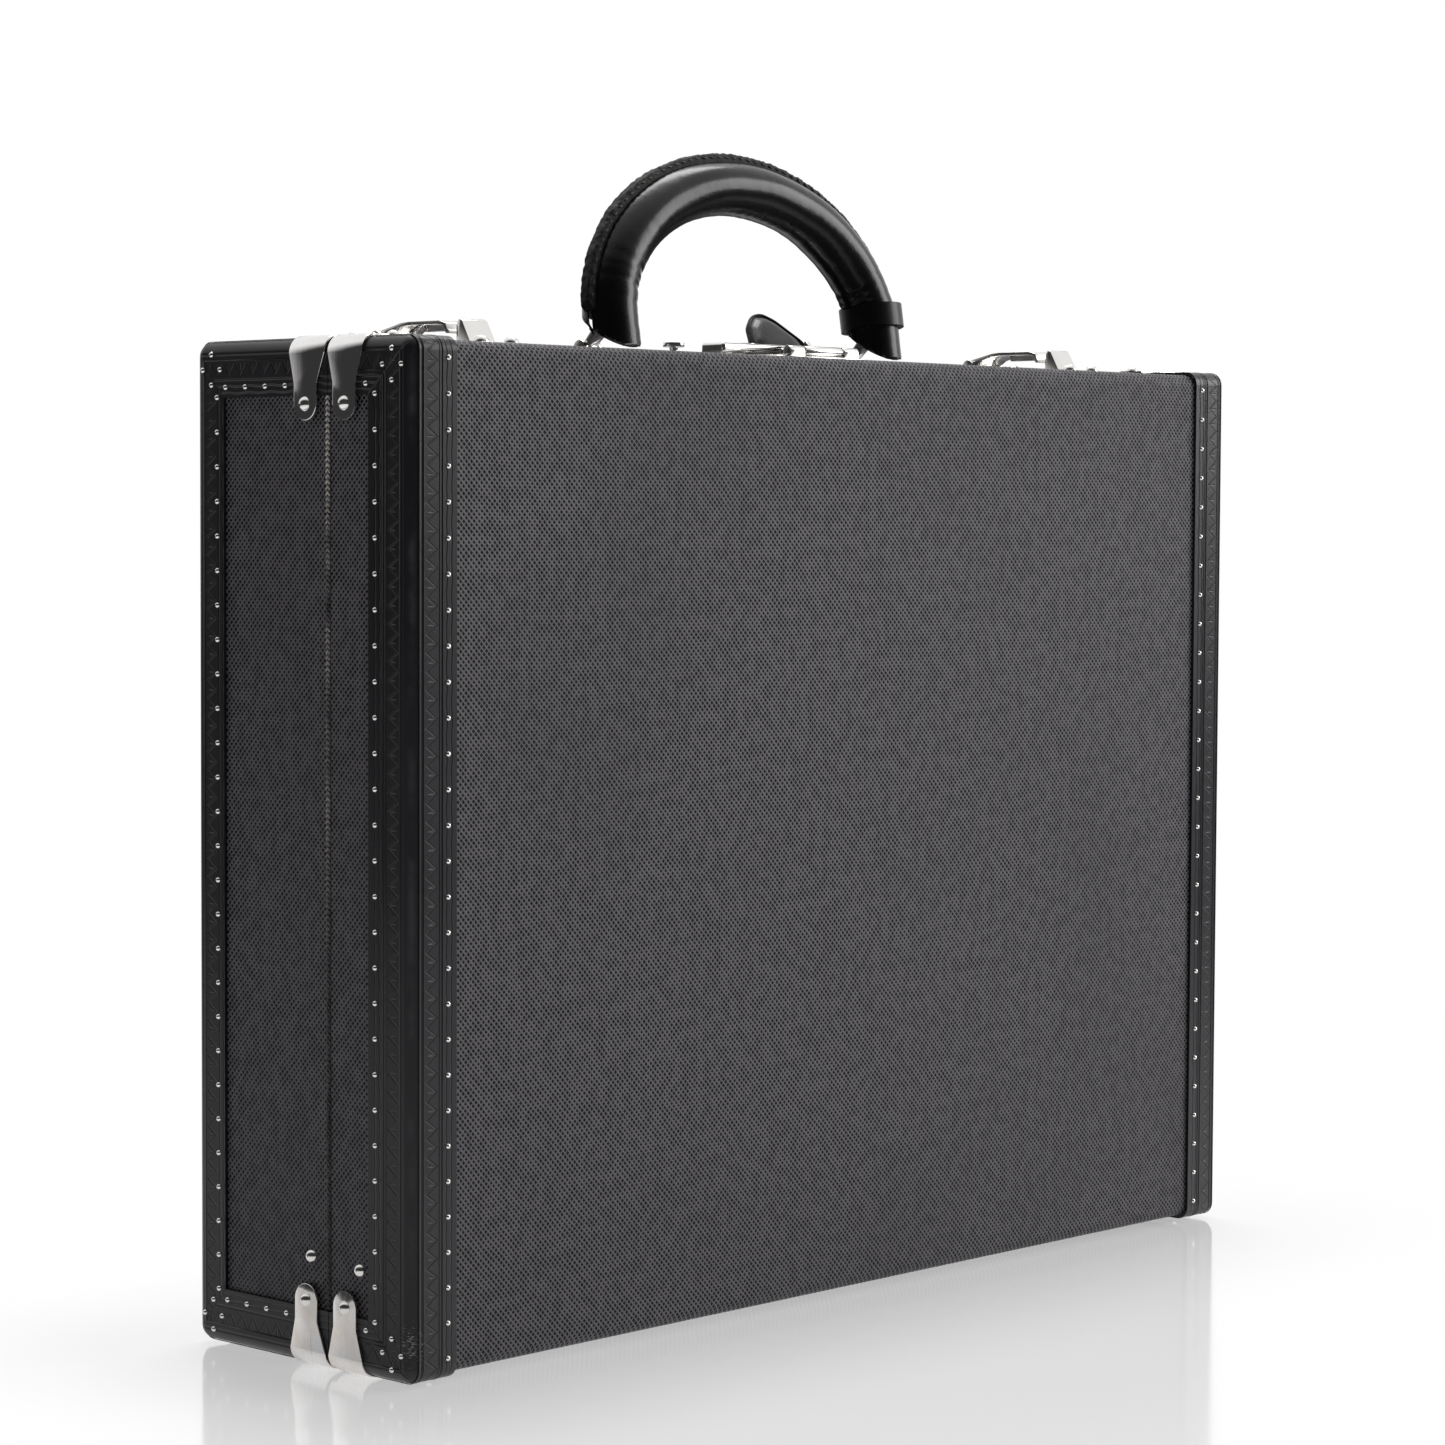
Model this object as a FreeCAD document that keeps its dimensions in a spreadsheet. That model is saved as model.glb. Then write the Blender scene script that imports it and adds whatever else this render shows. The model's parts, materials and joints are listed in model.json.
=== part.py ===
import FreeCAD, Part
import math
import os
import re

# Leather-clad attache case with metal fittings, built as separate pieces.
# Row frame: origin under the centre of the case on the floor, +Z up, X along the width.
# The lid is the half toward -Y and the body, which carries the handle, is the half toward +Y.

SIZES = [
    ("width", 450.0, "binding to binding, along X"),
    ("depth", 112.0, "lid face to body face, along Y"),
    ("height", 348.0, "binding to binding, along Z"),
    ("lid_depth", 41.5, "lid face to seam"),
    ("seam_gap", 0.3, "gap between the two metal edgings"),
    ("stand", 1.6, "floor to the underside of the binding"),
    ("binding_thickness", 1.2, "leather binding over the cover"),
    ("cover_thickness", 1.2, "leather cover over the board"),
    ("board_thickness", 4.0, "plywood wall"),
    ("lining_thickness", 0.7, "fabric lining"),
    ("cover_radius", 5.2, "rounding of cover and binding"),
    ("board_radius", 4.0, "rounding of the board"),
    ("binding_width", 20.4, "binding on the large face, top and bottom"),
    ("side_strip_lid", 21.3, "upright strip on the end face, lid"),
    ("side_strip_body", 16.0, "upright strip on the end face, body"),
    ("flat_strip", 19.5, "level strips on the end face"),
    ("edging_thickness", 0.6, "metal edging of the mouths"),
    ("edging_inset", 1.5, "edging below the binding"),
    ("valance_thickness", 1.4, "metal valance inside the body mouth"),
    ("valance_depth", 6.4, "valance inside the body"),
    ("tongue_reach", 5.0, "valance tongue into the lid"),
    ("tongue_clear", 0.4, "tongue to lid lining"),
    ("hinge_height", 2.6, "hinge line above the floor"),
    ("hinge_length", 340.0, "piano hinge"),
    ("hinge_count", 17.0, "knuckles of both leaves"),
    ("knuckle_radius", 2.2, "hinge barrel"),
    ("hinge_pin_radius", 1.05, "hinge pin"),
    ("leaf_width", 15.0, "hinge leaf from the hinge line"),
    ("leaf_thickness", 0.8, "hinge leaf"),
    ("hinge_relief", 3.0, "lid parts under the hinge line, back from the seam"),
    ("running_clear", 0.05, "radial clearance of pins"),
    ("nail_radius", 1.0, "dome nail"),
    ("nail_height", 0.8, "dome nail"),
    ("nail_pitch", 11.9, "nails along a strip"),
    ("nail_inset", 16.5, "nail row from the end of the case"),
    ("clip_thickness", 0.9, "edge clip"),
    ("clip_reach", 27.8, "edge clip down the end face"),
    ("clip_run", 27.0, "edge clip along the top"),
    ("clip_radius", 5.7, "rounded end of a clip"),
    ("clip_rivet_drop", 22.2, "clip rivet from the top of the binding"),
    ("body_clip_centre", -3.7, "body clip, Y"),
    ("body_clip_near", -13.6, "body clip flare toward the seam"),
    ("body_clip_far", 4.4, "body clip flare away from the seam"),
    ("lid_clip_centre", -23.6, "lid clip, Y"),
    ("lid_clip_near", -15.4, "lid clip flare toward the seam"),
    ("lid_clip_far", -32.5, "lid clip flare away from the seam"),
    ("rivet_radius", 2.45, "dome rivet"),
    ("rivet_height", 1.9, "dome rivet"),
    ("foot_height", 0.7, "flat rivet under the clips"),
    ("stay_radius", 37.4, "both stay studs from the hinge line"),
    ("stay_angle_body", 15.8, "body stud from upright, degrees"),
    ("stay_angle_lid", 23.1, "lid stud from upright, degrees"),
    ("lid_angle", 95.0, "lid opening, degrees"),
    ("stay_width", 9.0, "stay arm"),
    ("stay_thickness", 1.4, "stay arm"),
    ("stay_inset", 10.5, "inner face of the arm from the end of the case"),
    ("stud_radius", 2.0, "stay stud"),
    ("stud_head_radius", 3.6, "stay stud head"),
    ("stud_head_height", 1.2, "stay stud head"),
    ("slot_clear", 0.1, "stud in the stay slot"),
    ("plate_thickness", 1.0, "base plates on the top"),
    ("latch_inset", 63.0, "latch centre from the end of the case"),
    ("latch_half", 7.8, "half width of the latch lever"),
    ("latch_sheet", 1.3, "latch lever sheet"),
    ("latch_pin_y", 21.5, "latch lever pivot"),
    ("latch_pin_lift", 3.6, "latch lever pivot above the top"),
    ("latch_pin_radius", 1.2, "latch lever pivot"),
    ("latch_top", 9.0, "latch lever above the top"),
    ("catch_top", 9.5, "latch catch above the top"),
    ("lock_half", 56.0, "half length of the lock plate"),
    ("case_half", 18.0, "half length of the lock case"),
    ("lock_top", 7.0, "lock case above the top"),
    ("cylinder_radius", 4.0, "key cylinder"),
    ("lock_y", 5.0, "key cylinder and knobs, Y"),
    ("knob_offset", 38.7, "knob from the middle"),
    ("knob_travel", 3.5, "knob slide"),
    ("knob_radius", 4.0, "knob disc"),
    ("stem_radius", 1.6, "knob stem"),
    ("hasp_half", 20.0, "half length of the hasp"),
    ("hasp_pin_y", -34.0, "hasp hinge line"),
    ("hasp_pin_lift", 3.1, "hasp hinge line above the top"),
    ("hasp_pin_radius", 0.9, "hasp hinge pin"),
    ("hasp_knuckle", 1.9, "hasp knuckle"),
    ("hasp_reach", -1.8, "free edge of the hasp, Y"),
    ("mount_offset", 73.3, "handle mount from the middle"),
    ("mount_y", 15.6, "handle pivot, Y"),
    ("mount_lift", 3.2, "handle pivot above the top"),
    ("mount_pin_radius", 1.5, "handle pivot pin"),
    ("eye_radius", 3.0, "eye of the handle shank"),
    ("eye_half", 2.3, "half width of the shank"),
    ("grip_radius", 10.3, "leather handle"),
    ("core_radius", 3.0, "steel core of the handle"),
    ("grip_half_span", 73.0, "handle centre line at its ends"),
    ("grip_leg", 12.0, "straight part of the handle above the top"),
    ("grip_rise", 54.5, "curved part of the handle"),
    ("grip_y", 2.0, "handle centre line at its foot, Y"),
    ("grip_lean", 9.0, "lean of the handle, degrees"),
    ("spine_width", 5.4, "stitched ridge of the handle"),
    ("spine_height", 3.2, "stitched ridge above the leather"),
    ("tag_length", 31.0, "luggage tag"),
    ("tag_width", 26.5, "luggage tag"),
    ("tag_thickness", 3.0, "luggage tag"),
    ("tag_start", 26.5, "wide end of the tag, X"),
    ("tag_back", 4.0, "lower edge of the tag behind the handle pivot"),
    ("tag_lift", 2.6, "lower edge of the tag above the top"),
    ("tag_tilt", 42.0, "tag leaning back, degrees"),
    ("strap_length", 2.7, "strap beyond the tag, up to the handle"),
    ("strap_width", 9.0, "strap of the tag"),
    ("strap_thickness", 1.6, "strap of the tag"),
    ("buckle_width", 2.0, "buckle along the strap"),
    ("spine_low", 15.0, "lower ends of the stitched ridge above the top"),
    ("grip_end_high", 15.0, "leather end at the back, above the top"),
    ("grip_end_low", 1.6, "leather end at the front, above the top"),
    ("pocket_half", 190.0, "half length of the document pocket"),
    ("pocket_depth", 8.0, "document pocket"),
    ("pocket_low", 30.0, "pocket bottom above the floor"),
    ("pocket_high", 235.0, "pocket mouth above the floor"),
    ("pocket_wall", 1.2, "pocket leather"),
]
# sizes that follow from the driving ones
DERIVED = [
    ("end_x", "width / 2"),
    ("lid_face", "-depth / 2"),
    ("body_face", "depth / 2"),
    ("seam", "lid_depth - depth / 2"),
    ("body_mouth", "seam + seam_gap / 2"),
    ("lid_mouth", "seam - seam_gap / 2"),
    ("base", "stand"),
    ("roof", "stand + height"),
    ("cover_inset", "binding_thickness"),
    ("board_inset", "binding_thickness + cover_thickness"),
    ("lining_inset", "board_inset + board_thickness"),
    ("room_inset", "lining_inset + lining_thickness"),
    ("top", "roof - binding_thickness"),
    ("latch_x", "end_x - latch_inset"),
]

doc = FreeCAD.newDocument("attache_case")
sheet = doc.addObject("Spreadsheet::Sheet", "sizes")
NAMES = {name for name, value, note in SIZES} | {name for name, rule in DERIVED}
WORD = re.compile(r"[a-z][a-z_]*")


def expression(text):
    """Text with every size name turned into a cell of the sheet."""
    return WORD.sub(lambda m: "sizes." + m.group(0) if m.group(0) in NAMES else m.group(0), text)


for row, (name, value, note) in enumerate(SIZES, 1):
    sheet.set(f"A{row}", name)
    sheet.set(f"B{row}", str(value))
    sheet.set(f"C{row}", note)
    sheet.setAlias(f"B{row}", name)
for row, (name, rule) in enumerate(DERIVED, len(SIZES) + 1):
    sheet.set(f"A{row}", name)
    sheet.set(f"B{row}", "=" + rule)
    sheet.setAlias(f"B{row}", name)
doc.recompute()


def size(name):
    """Value of one size in the sheet."""
    return float(getattr(sheet, name))


def bind(item, prop, text):
    item.setExpression(prop, expression(text))


def place(item, x, y, z):
    """Tie an object's position to the sheet."""
    for axis, text in zip("xyz", (x, y, z)):
        bind(item, f"Placement.Base.{axis}", text)


def block(name, xs, ys, zs):
    """A box between two bounds on each axis."""
    item = doc.addObject("Part::Box", name)
    for prop, (low, high) in zip(("Length", "Width", "Height"), (xs, ys, zs)):
        bind(item, prop, f"({high}) - ({low})")
    place(item, xs[0], ys[0], zs[0])
    return item


TURN = {
    "X": FreeCAD.Rotation(FreeCAD.Vector(0, 1, 0), 90),
    "Y": FreeCAD.Rotation(FreeCAD.Vector(1, 0, 0), -90),
    "Z": FreeCAD.Rotation(),
}


def rod(name, along, radius, start, length):
    """A cylinder from a start point along one axis."""
    item = doc.addObject("Part::Cylinder", name)
    bind(item, "Radius", radius)
    bind(item, "Height", length)
    item.Placement = FreeCAD.Placement(FreeCAD.Vector(), TURN[along])
    place(item, *start)
    return item


def fuse(name, *items):
    item = doc.addObject("Part::MultiFuse", name)
    item.Shapes = list(items)
    item.Refine = True
    return item


def cut(name, base, *tools):
    item = doc.addObject("Part::Cut", name)
    item.Base = base
    item.Tool = tools[0] if len(tools) == 1 else fuse(name + "_tools", *tools)
    item.Refine = True
    return item


def common(name, *items):
    item = doc.addObject("Part::MultiCommon", name)
    item.Shapes = list(items)
    return item


def mirrored(name, source, normal=(1, 0, 0), base=(0, 0, 0)):
    item = doc.addObject("Part::Mirroring", name)
    item.Source = source
    item.Normal = normal
    item.Base = base
    return item


def shape_item(name, shape):
    """A plain solid, for outlines and groups that no other feature makes."""
    item = doc.addObject("Part::Feature", name)
    item.Shape = shape
    return item


def prism(name, along, outline, start, length):
    """A wire drawn on the two axes across `along`, pulled along it."""
    axis = {"X": FreeCAD.Vector(1, 0, 0), "Y": FreeCAD.Vector(0, 1, 0), "Z": FreeCAD.Vector(0, 0, 1)}[along]
    face = Part.Face(outline.translated(axis * start))
    return shape_item(name, face.extrude(axis * length))


def on_plane(along, a, b):
    """A point from its two coordinates on the plane across an axis."""
    return {
        "X": FreeCAD.Vector(0, a, b),
        "Y": FreeCAD.Vector(a, 0, b),
        "Z": FreeCAD.Vector(a, b, 0),
    }[along]


def outline(along, points):
    """A closed wire through points given as pairs."""
    corners = [on_plane(along, a, b) for a, b in points]
    return Part.makePolygon(corners + corners[:1])


def half_block(name, half, inset, radius):
    """A block filling one half of the case at an inset, rounded everywhere but at its mouth."""
    body = doc.addObject("PartDesign::Body", name)
    box = body.newObject("PartDesign::AdditiveBox", name + "_box")
    bind(box, "Length", f"width - 2 * ({inset})")
    bind(box, "Height", f"height - 2 * ({inset})")
    if half == "body":
        bind(box, "Width", f"body_face - body_mouth - ({inset})")
        start = "body_mouth"
    else:
        bind(box, "Width", f"lid_mouth - lid_face - ({inset})")
        start = f"lid_face + ({inset})"
    place(body, f"-end_x + ({inset})", start, f"base + ({inset})")
    doc.recompute()
    mouth = 0.0 if half == "body" else box.Shape.BoundBox.YMax
    chosen = []
    for number, edge in enumerate(box.Shape.Edges, 1):
        if any(abs(v.Point.y - mouth) > 0.01 for v in edge.Vertexes):
            chosen.append(f"Edge{number}")
    fillet = body.newObject("PartDesign::Fillet", name + "_round")
    fillet.Base = (box, chosen)
    bind(fillet, "Radius", radius)
    body.Tip = fillet
    doc.recompute()
    return body


def ring(name, ys, outer, inner):
    """A rectangular ring around the mouth, between two insets."""
    limits = []
    for part, inset in (("_out", outer), ("_in", inner)):
        reach = ys if part == "_out" else (f"({ys[0]}) - 1", f"({ys[1]}) + 1")
        xs = (f"-end_x + ({inset})", f"end_x - ({inset})")
        zs = (f"base + ({inset})", f"roof - ({inset})")
        limits.append(block(name + part, xs, reach, zs))
    return cut(name, *limits)


def dome(centre, normal, radius, height):
    """A rivet or nail head: a cap of a sphere standing on a face."""
    ball = (radius * radius + height * height) / (2 * height)
    cap = Part.makeSphere(ball)
    corner = FreeCAD.Vector(-2 * ball, -2 * ball, ball - height)
    slice_box = Part.makeBox(4 * ball, 4 * ball, height + 1, corner)
    cap = cap.common(slice_box)
    cap.translate(FreeCAD.Vector(0, 0, height - ball))
    cap.Placement = FreeCAD.Placement(
        FreeCAD.Vector(*centre), FreeCAD.Rotation(FreeCAD.Vector(0, 0, 1), FreeCAD.Vector(*normal))
    ).multiply(cap.Placement)
    return cap.Solids[0]


def disc(centre, normal, radius, height):
    """A flat head."""
    return Part.makeCylinder(radius, height, FreeCAD.Vector(*centre), FreeCAD.Vector(*normal))


parts = {}


def keep(node, item):
    """Label a finished piece with its node name."""
    item.Label = node
    parts[node] = item
    return item


# ---------------------------------------------------------------- boards, covers, linings
hole_start = ("-hinge_length / 2 - 0.5", "seam", "hinge_height")
hinge_hole = rod("hinge_hole", "X", "knuckle_radius + 0.25", hole_start, "hinge_length + 1")
lid_relief = block(
    "lid_relief", ("-end_x - 5", "end_x + 5"), ("seam - hinge_relief", "seam + 1"), ("-2", "hinge_height")
)
outer = {}
covers = {}
for half in ("body", "lid"):
    outer[half] = half_block(f"{half}_binding_outer", half, "0", "cover_radius")
    covers[half] = half_block(f"{half}_cover_outer", half, "cover_inset", "cover_radius")
    boards = half_block(f"{half}_board_outer", half, "board_inset", "board_radius")
    if half == "body":
        edging = ("body_mouth - 1", "body_mouth + edging_thickness")
        hollow_ys = ("body_mouth - 1", "body_face - lining_inset")
        room_ys = ("body_mouth - 1", "body_face - room_inset")
    else:
        edging = ("lid_mouth - edging_thickness", "lid_mouth + 1")
        hollow_ys = ("lid_face + lining_inset", "lid_mouth + 1")
        room_ys = ("lid_face + room_inset", "lid_mouth + 1")
    bounds = {}
    for inset in ("lining_inset", "room_inset"):
        bounds[inset] = ((f"-end_x + {inset}", f"end_x - {inset}"), (f"base + {inset}", f"roof - {inset}"))
    hollow = block(f"{half}_hollow", bounds["lining_inset"][0], hollow_ys, bounds["lining_inset"][1])
    room = block(f"{half}_room", bounds["room_inset"][0], room_ys, bounds["room_inset"][1])
    edge_room = ring(f"{half}_edge_room", edging, "edging_inset", "room_inset")
    extra = [hinge_hole, edge_room]
    keep(f"{half}_cover", cut(f"{half}_cover_cut", covers[half], boards, *extra))
    keep(f"{half}_shell", cut(f"{half}_shell_cut", boards, hollow, *extra))
    keep(f"{half}_lining", cut(f"{half}_lining_cut", hollow, room, edge_room, hinge_hole))

# linings start at the mouth, so trim what the hollow block reaches past it
for half, ys in (("body", ("body_mouth", "body_face")), ("lid", ("lid_face", "lid_mouth"))):
    span = block(f"{half}_lining_span", ("-end_x", "end_x"), ys, ("0", "roof"))
    keep(f"{half}_lining", common(f"{half}_lining_trim", parts[f"{half}_lining"], span))

# ---------------------------------------------------------------- metal mouth frames
edging_ys = ("body_mouth", "body_mouth + edging_thickness")
edging_ring = ring("body_edging_ring", edging_ys, "edging_inset", "room_inset + 0.1")
body_edging = common("body_edging", edging_ring, covers["body"])
valance = ring(
    "body_valance",
    ("body_mouth", "body_mouth + valance_depth"),
    "room_inset",
    "room_inset + valance_thickness",
)
tongue = ring(
    "body_tongue",
    ("body_mouth - tongue_reach", "body_mouth + 1"),
    "room_inset + tongue_clear",
    "room_inset + valance_thickness",
)
frame_all = fuse("body_frame_all", body_edging, valance, tongue)
keep("body_frame", cut("body_frame_cut", frame_all, hinge_hole))
lid_ys = ("lid_mouth - edging_thickness", "lid_mouth")
lid_ring = ring("lid_edging_ring", lid_ys, "edging_inset", "room_inset")
lid_edging = common("lid_edging", lid_ring, covers["lid"])
keep("lid_frame", cut("lid_frame_cut", lid_edging, hinge_hole, lid_relief))

# ---------------------------------------------------------------- leather bindings
E = size("end_x")
BASE = size("base")
ROOF = size("roof")
SEAM = size("seam")
FLAT = size("flat_strip")
REACH = size("binding_width")


def binding_zone(half, level):
    """The part of an end face that one mitred strip covers, as a prism through the left end."""
    face = size("body_face") if half == "body" else size("lid_face")
    out = 2.0 if half == "body" else -2.0
    strip = size(f"side_strip_{half}") * (1 if half == "body" else -1)
    corner = face - strip
    if level == "side":
        inner = [(corner, ROOF - FLAT), (corner, BASE + FLAT)]
        points = [(face + out, ROOF + 2), *inner, (face + out, BASE - 2)]
    elif level == "top":
        points = [(face + out, ROOF + 2), (corner, ROOF - FLAT), (SEAM, ROOF - FLAT), (SEAM, ROOF + 2)]
    else:
        points = [(face + out, BASE - 2), (corner, BASE + FLAT), (SEAM, BASE + FLAT), (SEAM, BASE - 2)]
    wire = outline("X", points)
    return prism(f"{half}_zone_{level}", "X", wire, -E - 2, REACH + 2)


for half in ("body", "lid"):
    skin = cut(f"{half}_binding_skin", outer[half], covers[half])
    for level in ("side", "top", "bottom"):
        strip = common(f"{half}_strip_{level}", skin, binding_zone(half, level))
        if half == "lid" and level == "bottom":
            strip = cut("lid_strip_bottom_relieved", strip, lid_relief)
        keep(f"{half}_binding_left_{level}", strip)
        keep(f"{half}_binding_right_{level}", mirrored(f"{half}_binding_right_{level}_m", strip))

# ---------------------------------------------------------------- nails
NAIL = (size("nail_radius"), size("nail_height"))
ROWS = int((size("height") - 12.0) // size("nail_pitch")) + 1
FIRST = (BASE + ROOF - (ROWS - 1) * size("nail_pitch")) / 2


def spread(low, high, pitch):
    """Evenly spaced places between two limits, near a pitch."""
    count = max(1, round((high - low) / pitch))
    return [low + (high - low) * n / count for n in range(count + 1)]


def nails(half):
    """Every dome nail of one half."""
    face = size("body_face") if half == "body" else size("lid_face")
    out = 1 if half == "body" else -1
    strip = size(f"side_strip_{half}")
    heads = []
    column = face - out * (strip - 3.4)
    mouth = SEAM + out * 9.0
    inner = face - out * 9.5
    corner = [(4.6, 0.0), (-4.6, 0.0), (0.0, 5.2), (0.0, -5.2)]
    for side in (-1, 1):
        for n in range(ROWS):
            height = FIRST + n * size("nail_pitch")
            heads.append(dome((side * (E - size("nail_inset")), face, height), (0, out, 0), *NAIL))
            if FLAT - 1 < height - BASE < size("height") - FLAT + 1:
                heads.append(dome((side * E, column, height), (side, 0, 0), *NAIL))
        for level, row, up in ((ROOF, ROOF - FLAT + 3.6, 1), (BASE, BASE + FLAT - 3.6, -1)):
            last = column - out * 4.6
            places = spread(size("body_clip_far") + 3.0, last, 10.5) if half == "body" else [last]
            for y in places:
                heads.append(dome((side * E, y, row), (side, 0, 0), *NAIL))
            for dy, dz in corner:
                centre = (side * E, face - out * (9.6 + dy), level - up * (9.8 + dz))
                heads.append(dome(centre, (side, 0, 0), *NAIL))
            for y in spread(mouth + out * 12.0, inner, 11.5):
                heads.append(dome((side * (E - size("nail_inset")), y, level), (0, 0, up), *NAIL))
    return Part.makeCompound(heads)


keep("body_nails", shape_item("body_nail_heads", nails("body")))
keep("lid_nails", shape_item("lid_nail_heads", nails("lid")))

# ---------------------------------------------------------------- edge clips
def flared(along, centre, near, far, root, tip, radius):
    """A tongue outline: wide at its root and round at its tip, on the plane across an axis."""
    low, high = sorted((near, far))
    flare = root + (tip - root) * 0.45
    stop = tip - radius * (1 if tip > root else -1)
    order = (lambda a, b: (a, b)) if along == "X" else (lambda a, b: (b, a))
    past = root - (tip - root) * 0.2
    points = [(low, past), (low, root), (centre - radius, flare), (centre - radius, stop)]
    edges = [order(*p) for p in points]
    back = [(centre + radius, stop), (centre + radius, flare), (high, root), (high, past)]
    tail = [order(*p) for p in back]
    head = on_plane(along, *order(centre, tip))
    first = [on_plane(along, *p) for p in edges]
    second = [on_plane(along, *p) for p in tail]
    lines = [Part.makeLine(a, b) for a, b in zip(first, first[1:])]
    lines.append(Part.Arc(first[-1], head, second[0]).toShape())
    lines += [Part.makeLine(a, b) for a, b in zip(second, second[1:])]
    lines.append(Part.makeLine(second[-1], first[0]))
    return Part.Wire(lines)


CLIP = size("clip_thickness")
MIDDLE = (BASE + ROOF) / 2
RIVET = (size("rivet_radius"), size("rivet_height"))
for half in ("body", "lid"):
    jacket = half_block(f"{half}_clip_outer", half, "-clip_thickness", "cover_radius + clip_thickness")
    layer = cut(f"{half}_clip_layer", jacket, outer[half])
    centre, near, far = (size(f"{half}_clip_{w}") for w in ("centre", "near", "far"))
    upright = flared("X", centre, near, far, ROOF - 5, ROOF - size("clip_reach"), size("clip_radius"))
    level = flared("Z", centre, near, far, -E + 5, -E + size("clip_run"), size("clip_radius"))
    leg = prism(f"{half}_clip_upright", "X", upright, -E - 2, 7.5)
    run = prism(f"{half}_clip_level", "Z", level, ROOF - 5.5, 7.5)
    top_left = common(f"{half}_clip_top", layer, fuse(f"{half}_clip_legs", leg, run))
    bottom = mirrored(f"{half}_clip_bottom_m", top_left, (0, 0, 1), (0, 0, MIDDLE))
    if half == "lid":
        bottom = cut("lid_clip_bottom_relieved", bottom, lid_relief)
    doc.recompute()
    shapes = []
    for item in (top_left, bottom):
        left = item.Shape.Solids
        shapes += left + [s.mirror(FreeCAD.Vector(), FreeCAD.Vector(1, 0, 0)) for s in left]
    keep(f"{half}_edge_clips", shape_item(f"{half}_clip_set", Part.makeCompound(shapes)))

# ---------------------------------------------------------------- piano hinge
COUNT = int(size("hinge_count"))
LONG = size("hinge_length")
HINGE = FreeCAD.Vector(0, SEAM, size("hinge_height"))
LEAF_TOP = BASE + size("cover_inset")


def hinge_leaf(half):
    """One leaf of the piano hinge, with its own knuckles on the shared pin."""
    out = 1 if half == "body" else -1
    step = LONG / COUNT
    clear = size("knuckle_radius") + 0.3
    wide = size("leaf_width")
    low = LEAF_TOP - size("leaf_thickness")

    def plate(x, length, near, far):
        ys = sorted((SEAM + out * near, SEAM + out * far))
        return Part.makeBox(length, ys[1] - ys[0], size("leaf_thickness"), FreeCAD.Vector(x, ys[0], low))

    pieces = [plate(-LONG / 2, LONG, clear, wide)]
    for n in range(COUNT):
        if (n % 2 == 0) != (half == "body"):
            continue
        x = -LONG / 2 + n * step + 0.15
        start = FreeCAD.Vector(x, HINGE.y, HINGE.z)
        pieces.append(Part.makeCylinder(size("knuckle_radius"), step - 0.3, start, FreeCAD.Vector(1, 0, 0)))
        pieces.append(plate(x, step - 0.3, 1.2, clear + 0.5))
    leaf = pieces[0].multiFuse(pieces[1:])
    bore = Part.makeCylinder(
        size("hinge_pin_radius") + size("running_clear"),
        LONG + 2,
        FreeCAD.Vector(-LONG / 2 - 1, HINGE.y, HINGE.z),
        FreeCAD.Vector(1, 0, 0),
    )
    return leaf.cut(bore).removeSplitter()


keep("hinge_leaf_body", shape_item("hinge_leaf_body_s", hinge_leaf("body")))
keep("hinge_leaf_lid", shape_item("hinge_leaf_lid_s", hinge_leaf("lid")))
hinge_start = ("-hinge_length / 2", "seam", "hinge_height")
keep("hinge_pin", rod("hinge_pin_rod", "X", "hinge_pin_radius", hinge_start, "hinge_length"))

# ---------------------------------------------------------------- lid stays
STAY = size("stay_radius")


def stud_place(half):
    angle = math.radians(size(f"stay_angle_{half}")) * (1 if half == "body" else -1)
    return HINGE.y + STAY * math.sin(angle), HINGE.z + STAY * math.cos(angle)


ARM_IN = -E + size("stay_inset")
ARM_OUT = ARM_IN - size("stay_thickness")
WALL = -E + size("room_inset")
studs = {"body": stud_place("body"), "lid": stud_place("lid")}
for half, (y, z) in studs.items():
    shapes = []
    for side in (-1, 1):
        inward = FreeCAD.Vector(-side, 0, 0)
        shaft = Part.makeCylinder(
            size("stud_radius"), ARM_IN - WALL + 0.3, FreeCAD.Vector(side * -WALL, y, z), inward
        )
        head_start = FreeCAD.Vector(side * -(ARM_IN + 0.3), y, z)
        head = Part.makeCylinder(size("stud_head_radius"), size("stud_head_height"), head_start, inward)
        shapes.append(shaft.fuse(head).removeSplitter().Solids[0])
    keep(f"stay_studs_{half}", shape_item(f"stay_studs_{half}_s", Part.makeCompound(shapes)))


def stay_arm():
    """A flat arm turning on the lid stud, with a slot that slides on the body stud."""
    half_wide = size("stay_width") / 2
    closed = math.radians(size("stay_angle_lid") + size("stay_angle_body")) / 2
    opened = closed + math.radians(size("lid_angle")) / 2
    near = 2 * STAY * math.sin(closed)
    far = 2 * STAY * math.sin(opened)
    thick = size("stay_thickness")
    axis = FreeCAD.Vector(1, 0, 0)

    def bar(a, b, radius):
        flat = Part.makeBox(thick, b - a, 2 * radius, FreeCAD.Vector(0, a, -radius))
        ends = [Part.makeCylinder(radius, thick, FreeCAD.Vector(0, y, 0), axis) for y in (a, b)]
        return flat.multiFuse(ends)

    slot = bar(near - 0.4, far + 0.4, size("stud_radius") + size("slot_clear"))
    hole = Part.makeCylinder(size("stud_radius") + size("running_clear"), thick, FreeCAD.Vector(), axis)
    arm = bar(0.0, far + 0.8, half_wide).cut(slot).cut(hole).removeSplitter()
    (py, pz), (by, bz) = studs["lid"], studs["body"]
    arm.Placement = FreeCAD.Placement(
        FreeCAD.Vector(ARM_OUT, py, pz),
        FreeCAD.Rotation(axis, math.degrees(math.atan2(bz - pz, by - py))),
    )
    return arm


arm_left = keep("stay_arm_left", shape_item("stay_arm_left_s", stay_arm()))
keep("stay_arm_right", mirrored("stay_arm_right_m", arm_left))

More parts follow.
